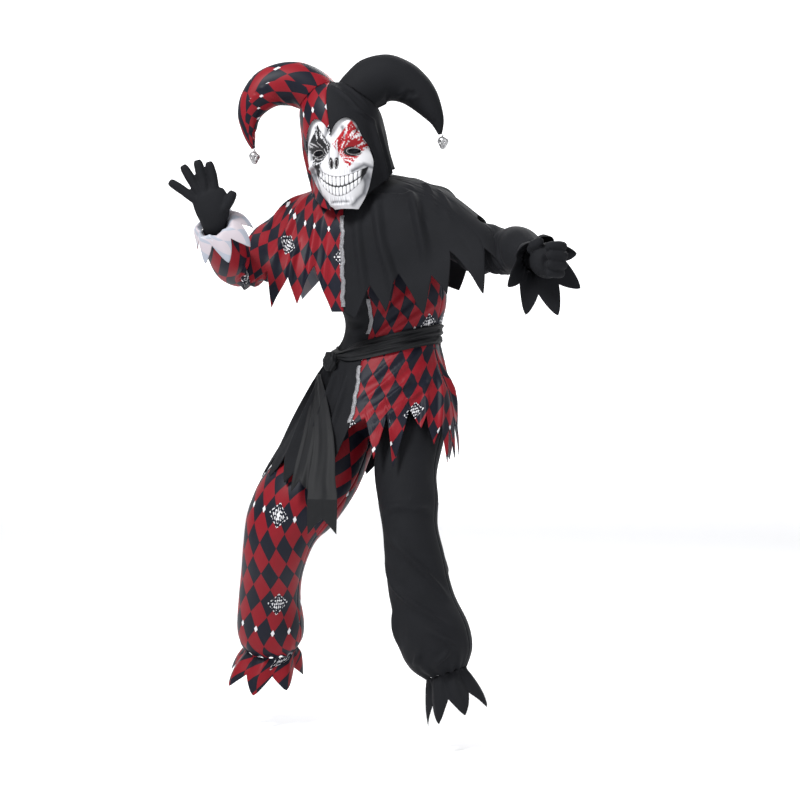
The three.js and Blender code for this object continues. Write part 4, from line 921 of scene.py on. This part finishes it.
def dent(p, at, size):
    return np.exp(-(((p - np.array(at)) / np.array(size)) ** 2).sum(-1))


def charm(name, centre):
    ball = bmesh.new()
    bmesh.ops.create_icosphere(ball, subdivisions=5, radius=1)
    p = np.array([v.co[:] for v in ball.verts])
    faces = [[v.index for v in f.verts] for f in ball.faces]
    ball.free()
    grow = np.ones(len(p))
    for side in (-1, 1):
        grow -= 0.34 * dent(p, (side * 0.4, -0.88, -0.12), (0.22, 0.5, 0.2))
        grow += 0.07 * dent(p, (side * 0.68, -0.6, -0.5), (0.3, 0.4, 0.16))
        grow -= 0.12 * dent(p, (side * 0.95, -0.25, -0.35), (0.3, 0.4, 0.3))
    grow -= 0.22 * dent(p, (0, -0.9, -0.48), (0.12, 0.5, 0.13))
    grow -= 0.06 * (1 - np.cos(p[:, 0] * 34)) * dent(p, (0, -0.7, -0.78), (0.55, 0.5, 0.1))
    low = np.clip(-p[:, 2], 0, 1)
    size = np.stack([12.5 - 5 * low + 7 * low**6, 12.8 - 4 * low + 7 * low**6, 12.8 + 2.6 * low], -1)
    skull = p * grow[:, None] * size
    t, s = np.meshgrid(*(np.linspace(0, 2 * np.pi, n, endpoint=False) for n in (RING_AROUND, RING_SECTION)))
    reach = RING_RADIUS + RING_WIRE * np.cos(s)
    ring = np.stack([RING_WIRE * np.sin(s), reach * np.cos(t), reach * np.sin(t)], -1).reshape(-1, 3) + [0, 0, 13.8]
    for i in range(RING_SECTION):
        here, there = (len(skull) + n % RING_SECTION * RING_AROUND for n in (i, i + 1))
        faces += [[here + j, here + (j + 1) % RING_AROUND, there + (j + 1) % RING_AROUND, there + j]
                  for j in range(RING_AROUND)]
    points = np.concatenate([skull, ring])
    x = points[:, 0] * np.cos(CHARM_TURN) - points[:, 1] * np.sin(CHARM_TURN)
    y = points[:, 0] * np.sin(CHARM_TURN) + points[:, 1] * np.cos(CHARM_TURN)
    obj = mesh_of(name, np.stack([x, y, points[:, 2]], -1) + np.array(centre), faces, [METAL])
    piece(obj, name)


charm("charm_right", (-238.0, -64, 53))
charm("charm_left", (170.0, -62, 86))

# Mask: a moulded plastic half mask, a plain grinning skull with a worn black diamond painted over one
# eye and a red one over the other. It sits inside the hood's face edge.
# columns: x, y, z, half width, front, edge in degrees
MASK_ROWS = [
    (-52, -58, 138, 74, 88, 38), (-48, -58, 118, 79, 99, 50), (-43, -58, 92, 80, 101, 56),
    (-39, -58, 62, 80, 104, 60), (-34, -58, 34, 82, 110, 62), (-29, -57, 6, 78, 114, 58),
    (-24, -55, -22, 70, 115, 54), (-19, -53, -46, 58, 112, 48), (-14, -51, -68, 42, 104, 38)]
MASK_BACK = 80  # from the middle of the head back to the far side of the mask's rings
mask_rings = body_rings([(*row[:5], MASK_BACK, HEAD_TURN, 0) for row in MASK_ROWS])
mask_edges = np.array([row[5:] for row in MASK_ROWS], float)
FACE_MIDDLE = 11.0  # across, from the origin of the face to the middle of the mask
GRIN_MIDDLE, GRIN_HALF = 12.0, 56
BONE_WHITE, INK = (0.60, 0.60, 0.62), (0.012, 0.012, 0.014)


def mask(share, along):
    share, along = np.broadcast_arrays(share, along)
    return on_rings(mask_rings, 90 - share * curve(mask_edges, along)[..., 0], along)


def spot(u, z, at_u, at_z, wide, high, tilt=0.0):
    c, s = np.cos(tilt), np.sin(tilt)
    a, b = (u - at_u) * c + (z - at_z) * s, (z - at_z) * c - (u - at_u) * s
    return np.exp(-((a / wide) ** 2) - ((b / high) ** 2))


def grin(u):
    """Heights of the top, the bite and the foot of the teeth across the mouth."""
    v = np.minimum(abs(u - GRIN_MIDDLE) / GRIN_HALF, 1.05)
    return -1 + 24 * v**1.8, -23 + 36 * v**2, -43 + 50 * v**2


# columns: across, height, half width, half height, tilt, rise
MASK_FORMS = [
    (-38, 52, 20, 14, -0.25, -9), (40, 56, 20, 14, 0.25, -9), (-36, 76, 24, 9, 0.25, 7),
    (38, 80, 24, 9, -0.25, 7), (-24, 108, 11, 18, 0, 5), (30, 110, 11, 18, 0, 5), (2, 66, 9, 10, 0, 6),
    (1, 46, 7, 14, 0, 6), (2, 24, 8, 11, 0, -4), (-50, 24, 20, 7, 0.3, 8), (54, 27, 20, 7, -0.3, 8),
    (-55, 2, 9, 15, 0, -8), (66, 2, 9, 15, 0, -8), (12, -60, 20, 8, 0, 5), (-14, -54, 7, 8, 0, 3),
    (38, -54, 7, 8, 0, 3)]
# columns: across, height, to across, to height, width, depth
MASK_GROOVES = [
    (-64, 14, -46, 20, 3.5, 1), (-46, 20, -30, 8, 3.5, 1), (80, 20, 60, 24, 3.5, 1), (60, 24, 42, 10, 3.5, 1),
    (-12, 104, -20, 80, 3.5, 1), (-20, 80, -8, 66, 3, 0.8), (18, 104, 24, 82, 3.5, 1), (24, 82, 12, 66, 3, 0.8),
    (-11, 58, -9, 36, 2.6, 0.7), (13, 58, 12, 36, 2.6, 0.7), (-46, -8, -38, -36, 4, 1), (-38, -36, -18, -58, 3.5, 0.9),
    (70, -6, 60, -36, 4, 1), (60, -36, 38, -60, 3.5, 0.9), (-6, -54, 30, -54, 2.5, 0.8), (-34, 22, -24, 2, 3, 0.7),
    (-60, 40, -66, 66, 3.5, 0.8), (78, 44, 72, 72, 3.5, 0.8), (-44, 104, -36, 92, 3, 0.8), (50, 108, 44, 94, 3, 0.8)]


def grooves(u, z):
    deep = np.zeros(u.shape)
    for u0, z0, u1, z1, width, depth in MASK_GROOVES:
        way = np.array([u1 - u0, z1 - z0], float)
        t = np.clip(((u - u0) * way[0] + (z - z0) * way[1]) / (way @ way), 0, 1)
        apart = np.hypot(u - u0 - t * way[0], z - z0 - t * way[1])
        deep = np.maximum(deep, depth * np.exp(-((apart / width) ** 2)))
    return deep


def mouth(u, z, lip, half, corner):
    """1 inside the mouth and 0 outside, softened over the lip and the corner."""
    top, _, low = grin(u)
    edges = [(top - z) / lip, (z - low) / lip, (half - abs(u - GRIN_MIDDLE)) / corner]
    return np.prod([np.clip(edge, 0, 1) for edge in edges], 0)


def mask_relief(u, z):
    rise = sum(height * spot(u, z, *form) for *form, height in MASK_FORMS)
    rise += 1.2 * np.sin((u - GRIN_MIDDLE) * 0.68) * spot(u, z, 12, -50, 30, 7)
    inside = mouth(u, z, 4, GRIN_HALF, 5)
    return rise - 1.6 * inside + 2.6 * inside * np.clip(1 - tooth(u, z) ** 4, 0, 1) - 3 * grooves(u, z)


def tooth(u, z):
    """How near a place is to the outline of its tooth, from 0 in the middle to 1."""
    top, bite, low = grin(u)
    upper = z > bite
    pitch = np.where(upper, 9.2, 8.0)
    warp = (u - GRIN_MIDDLE) * (1 + 0.0016 * abs(u - GRIN_MIDDLE))
    across = abs((warp / pitch + np.where(upper, 0, 0.37) + 0.5) % 1 - 0.5) * 2
    middle = np.where(upper, (top + bite) / 2, (low + bite) / 2)
    half = np.where(upper, (top - bite) / 2, (bite - low) / 2) + 0.01
    along = abs(z - middle) / half
    return (across**5 + np.clip(along, 0, 2) ** 5) ** 0.2


def worn(u, z, seed):
    """Broken streaks of worn paint, as a share from 0 to 1."""
    fan = np.arctan2(z - 40, u * np.sign(u) - 12 + 1e-6) * 17
    wave = np.sin(fan + 1.6 * np.sin(u * 0.21 + seed)) + 0.7 * np.sin(fan * 1.7 + z * 0.2 + seed)
    fine = np.sin(u * 0.9 + z * 0.5 + 2 * np.sin(z * 0.4 + seed)) * np.sin(z * 0.8 - u * 0.3 + seed)
    return np.clip(0.5 + 0.26 * wave + 0.3 * fine, 0, 1)


def mask_paint(u, z):
    colour = np.ones(u.shape + (4,))
    colour[..., :3] = BONE_WHITE

    def lay(share, tint):
        share = np.clip(share, 0, 1)[..., None]
        colour[..., :3] = colour[..., :3] * (1 - share) + np.array(tint) * share

    # Painted shade: the cheek hollows, the dip between the brows, the sunken places of the relief and its grooves are
    # painted dark grey to stand in for their shadow; the streaks above and below the teeth are grey paint on the mask
    # itself.
    shade = 0.6 * spot(u, z, -55, 2, 8, 14) + 0.6 * spot(u, z, 66, 2, 8, 14) + 0.35 * spot(u, z, 1, 92, 8, 16)
    streaks = np.clip(np.sin(u * 1.25 + np.sin(z * 0.12) * 1.5), 0, 1)
    shade += 0.4 * streaks * spot(u, z, 6, 8, 40, 10) + 0.45 * streaks * spot(u, z, 6, -50, 30, 8)
    shade += 0.5 * np.clip(-mask_relief(u, z) / 9, 0, 1) + 0.75 * grooves(u, z)
    lay(np.clip(shade, 0, 0.85), (0.11, 0.115, 0.13))
    for centre, size, tint, seed, keep in [
            ((-37, 62), (33, 50), INK, 1.3, 0.34), ((33, 67), (35, 52), (0.30, 0.005, 0.01), 4.1, 0.46)]:
        away = abs(u - centre[0]) / size[0] + abs(z - centre[1]) / size[1]
        lay(((1.02 - away) * 14) * (worn(u, z, seed) > keep - 0.3 * (1 - away)), tint)
    for at_u, at_z in [(-39, 51), (39, 54)]:
        rim = ((u - at_u) / 17.5) ** 2 + ((z - at_z) / 10.5) ** 2
        lay((1.15 - rim) * 4, (0.01, 0.01, 0.012))
    for at_u in (-3.5, 7.5):
        rim = ((u - at_u - 0.6 * np.sign(at_u)) / 5.6) ** 2 + ((z - 24 - 0.4 * abs(u - 2)) / 12.5) ** 2
        lay((1.1 - rim) * 5, INK)
    inside = mouth(u, z, 1.2, GRIN_HALF + 1, 2)
    ink = np.clip((tooth(u, z) - 0.76) * 7, 0, 1)
    corner = np.clip((abs(u - GRIN_MIDDLE) - 43) / 5, 0, 1)
    lay(inside * np.maximum(ink, corner), INK)
    lay(inside * (1 - ink) * (1 - corner) * 0.25, (0.93, 0.93, 0.95))
    return colour


shares = np.linspace(1, -1, 151)[:, None]
steps = np.linspace(0, 8, 171)
base = mask(shares, steps)
face = (base - FACE_ORIGIN) @ HEAD_LEFT - FACE_MIDDLE, base[..., 2]
across = mask(shares - 0.004, steps) - mask(shares + 0.004, steps)
down = mask(shares, np.minimum(steps + 0.016, 8)) - mask(shares, np.maximum(steps - 0.016, 0))
away = unit(np.cross(across, down))
fade = np.clip((1 - abs(shares)) / 0.08, 0, 1) * np.clip((8 - steps) / 0.5, 0, 1)
outer = base + away * (mask_relief(*face) * fade)[..., None]
BONE, tree, shader = nodes_of("painted plastic", 0.45, 0.0, 0.25)
paint = tree.nodes.new("ShaderNodeVertexColor")
paint.layer_name = "paint"
fill(shader, {"Base Color": paint.outputs["Color"]})
bumped(tree, shader, noise(tree, 90, 3), 0.08, 0.002)
obj = cloth("mask", outer, away, np.stack(face, -1), [BONE], 2.2)
layer = obj.data.color_attributes.new("paint", "FLOAT_COLOR", "POINT")
tints = mask_paint(*face).reshape(-1, 4)
inner_tints = np.minimum(tints, [0.4, 0.4, 0.42, 1])
layer.data.foreach_set("color", np.concatenate([tints, inner_tints]).ravel())
obj.data.polygons.foreach_set("material_index", np.zeros(len(obj.data.polygons), int))
turns = np.radians(np.linspace(0, 360, 33)[:-1])
for u, z, wide, high in [(50, 54, 27, 14), (-28, 51, 27, 14), (7.5, 25, 7, 17), (18.5, 26, 7, 17)]:
    cut(obj, prism(np.stack([u + wide / 2 * np.cos(turns), z + high / 2 * np.sin(turns)], -1)))
piece(obj, "mask")

# Gloves: black knit, each a palm and five fingers sewn as one, open at the wrist inside the sleeve.
# columns: x, y, z, half width, half depth
PALM_RIGHT = [
    (-307, -196, -124, 25, 23), (-310, -214, -106, 26, 21), (-311, -224, -88, 34, 17),
    (-314, -229, -66, 38, 15), (-321, -231, -46, 35, 12), (-323, -231, -36, 26, 7)]
PALM_LEFT = [
    (345, -318, -184, 24, 24), (356, -342, -189, 25, 25), (364, -368, -193, 33, 31),
    (370, -392, -196, 36, 35), (373, -412, -198, 33, 32), (375, -424, -199, 22, 22)]
# columns: radius, then the points of each finger's middle line
FINGERS_RIGHT = [
    (9.5, (-336, -230, -66), (-371, -231, -40), (-401, -234, -20)),
    (10, (-332, -231, -54), (-352, -232, -22), (-373, -236, 13)),
    (10.5, (-324, -231, -52), (-333, -232, -14), (-343, -237, 24)),
    (10, (-308, -231, -56), (-310, -232, -18), (-319, -240, 20)),
    (10.5, (-300, -228, -88), (-281, -234, -68), (-267, -239, -41))]
FINGERS_LEFT = [
    (10, (378, -392, -182), (397, -418, -171), (364, -434, -171)),
    (10, (380, -392, -192), (399, -420, -189), (365, -437, -189)),
    (10, (380, -392, -203), (398, -418, -207), (365, -435, -207)),
    (9, (378, -392, -210), (394, -414, -223), (365, -429, -223)),
    (10, (366, -376, -186), (338, -396, -172), (356, -424, -159))]
FINGER_SWELL = np.array([1, 1, 1.02, 1.04, 1, 1.03, 0.98, 0.9, 0.62])  # radius along a finger
VOXEL, KNIT_THICK, WRIST_CUT = 0.0021, 0.0012, 0.0022  # metres


def closed_tube(rings, columns=32):
    turns = np.linspace(0, 360, columns + 1)[:-1, None]
    steps = np.linspace(0, len(rings) - 1, 8 * (len(rings) - 1) + 1)
    return on_rings(rings, turns, steps).reshape(-1, 3), tube_faces(columns, len(steps))


def glove(name, palm, zero, quarter, fingers):
    palm = np.array(palm, float)
    vertices, faces = closed_tube(limb_rings(palm, zero, quarter))
    vertices, faces = [vertices], list(faces)
    for radius, *points in fingers:
        count = sum(len(v) for v in vertices)
        middle = curve(points, np.linspace(0, len(points) - 1, len(FINGER_SWELL)))
        rows = np.column_stack([middle, FINGER_SWELL * radius, FINGER_SWELL * radius])
        more, quads = closed_tube(limb_rings(rows, unit(np.array([0.3, -1, 0.2])), np.array([1.0, 0, 0])), 24)
        vertices.append(more)
        faces += [[n + count for n in quad] for quad in quads]
    obj = faced_out(mesh_of(name, np.concatenate(vertices), faces, [BLACK]))
    step = obj.modifiers.new("voxels", "REMESH")
    step.mode, step.voxel_size, step.use_smooth_shade = "VOXEL", VOXEL, True
    step = obj.modifiers.new("smooth", "SMOOTH")
    step.factor, step.iterations = 0.5, 3
    applied(obj)
    start = palm[0, :3] * MM
    ahead = unit(palm[1, :3] - palm[0, :3])
    opened = bmesh.new()
    opened.from_mesh(obj.data)
    wrist = [f for f in opened.faces if (np.array(f.calc_center_median()) - start) @ ahead < WRIST_CUT]
    bmesh.ops.delete(opened, geom=wrist, context="FACES")
    opened.to_mesh(obj.data)
    opened.free()
    step = obj.modifiers.new("cloth", "SOLIDIFY")
    step.thickness, step.offset = KNIT_THICK, -1
    applied(obj)
    obj.data.materials.clear()
    obj.data.materials.append(BLACK)
    sewn(obj, name, "black_knit", flat=(0.24, 0.2), held="stretched", rests_on=[name.replace("glove", "cuff")],
         area=0.029)


glove("glove_right", PALM_RIGHT, np.array([1.0, 0, 0]), np.array([0, -1.0, 0]), FINGERS_RIGHT)
glove("glove_left", PALM_LEFT, UP, np.array([-0.92, -0.39, 0]), FINGERS_LEFT)

# The place: a plain pale floor, soft lights from the front and the sides, and the photo's view.
for name, corners, rough, tint, glow in [
        ("floor", [(-9000, -6000, -1200), (9000, -6000, -1200), (9000, 9000, -1200), (-9000, 9000, -1200)],
         0.7, (0.86, 0.86, 0.87, 1), 0.14),
        ("backdrop", [(-12000, 8900, -1250), (12000, 8900, -1250), (12000, 8900, 7000), (-12000, 8900, 7000)],
         0.8, (0.9, 0.9, 0.91, 1), 0.75)]:
    plane = mesh_of(name, corners, [[0, 1, 2, 3]])
    pale, tree, shader = nodes_of(f"pale {name}", rough)
    fill(shader, {"Base Color": tint, "Emission Color": (1, 1, 1, 1), "Emission Strength": glow})
    plane.data.materials.append(pale)

world = bpy.data.worlds.new("pale")
world.use_nodes = True
fill(world.node_tree.nodes["Background"], {"Color": (0.93, 0.94, 0.96, 1), "Strength": 0.56})
bpy.context.scene.world = world


def light(name, place, aim, power, size):
    lamp = bpy.data.lights.new(name, "AREA")
    lamp.energy, lamp.size = power, size
    obj = bpy.data.objects.new(name, lamp)
    obj.location = place
    obj.rotation_euler = Vector(np.array(place) - np.array(aim)).to_track_quat("Z", "Y").to_euler()
    bpy.context.collection.objects.link(obj)


light("key", (-1.8, -2.2, 2.6), (0, 0, -0.4), 210, 1.0)
light("fill", (2.8, -2.6, 0.6), (0, 0, -0.5), 34, 1.6)
light("rim", (1.2, 2.4, 2.2), (0, 0, -0.3), 90, 1.6)

lens = bpy.data.cameras.new("view")
lens.lens, lens.sensor_width = 81.8, 36
view = bpy.data.objects.new("view", lens)
view.location = (0.077, -4, -0.473)
view.rotation_euler = (np.pi / 2, 0, 0)
bpy.context.collection.objects.link(view)
bpy.context.scene.camera = view
bpy.context.scene.view_settings.view_transform = "Standard"
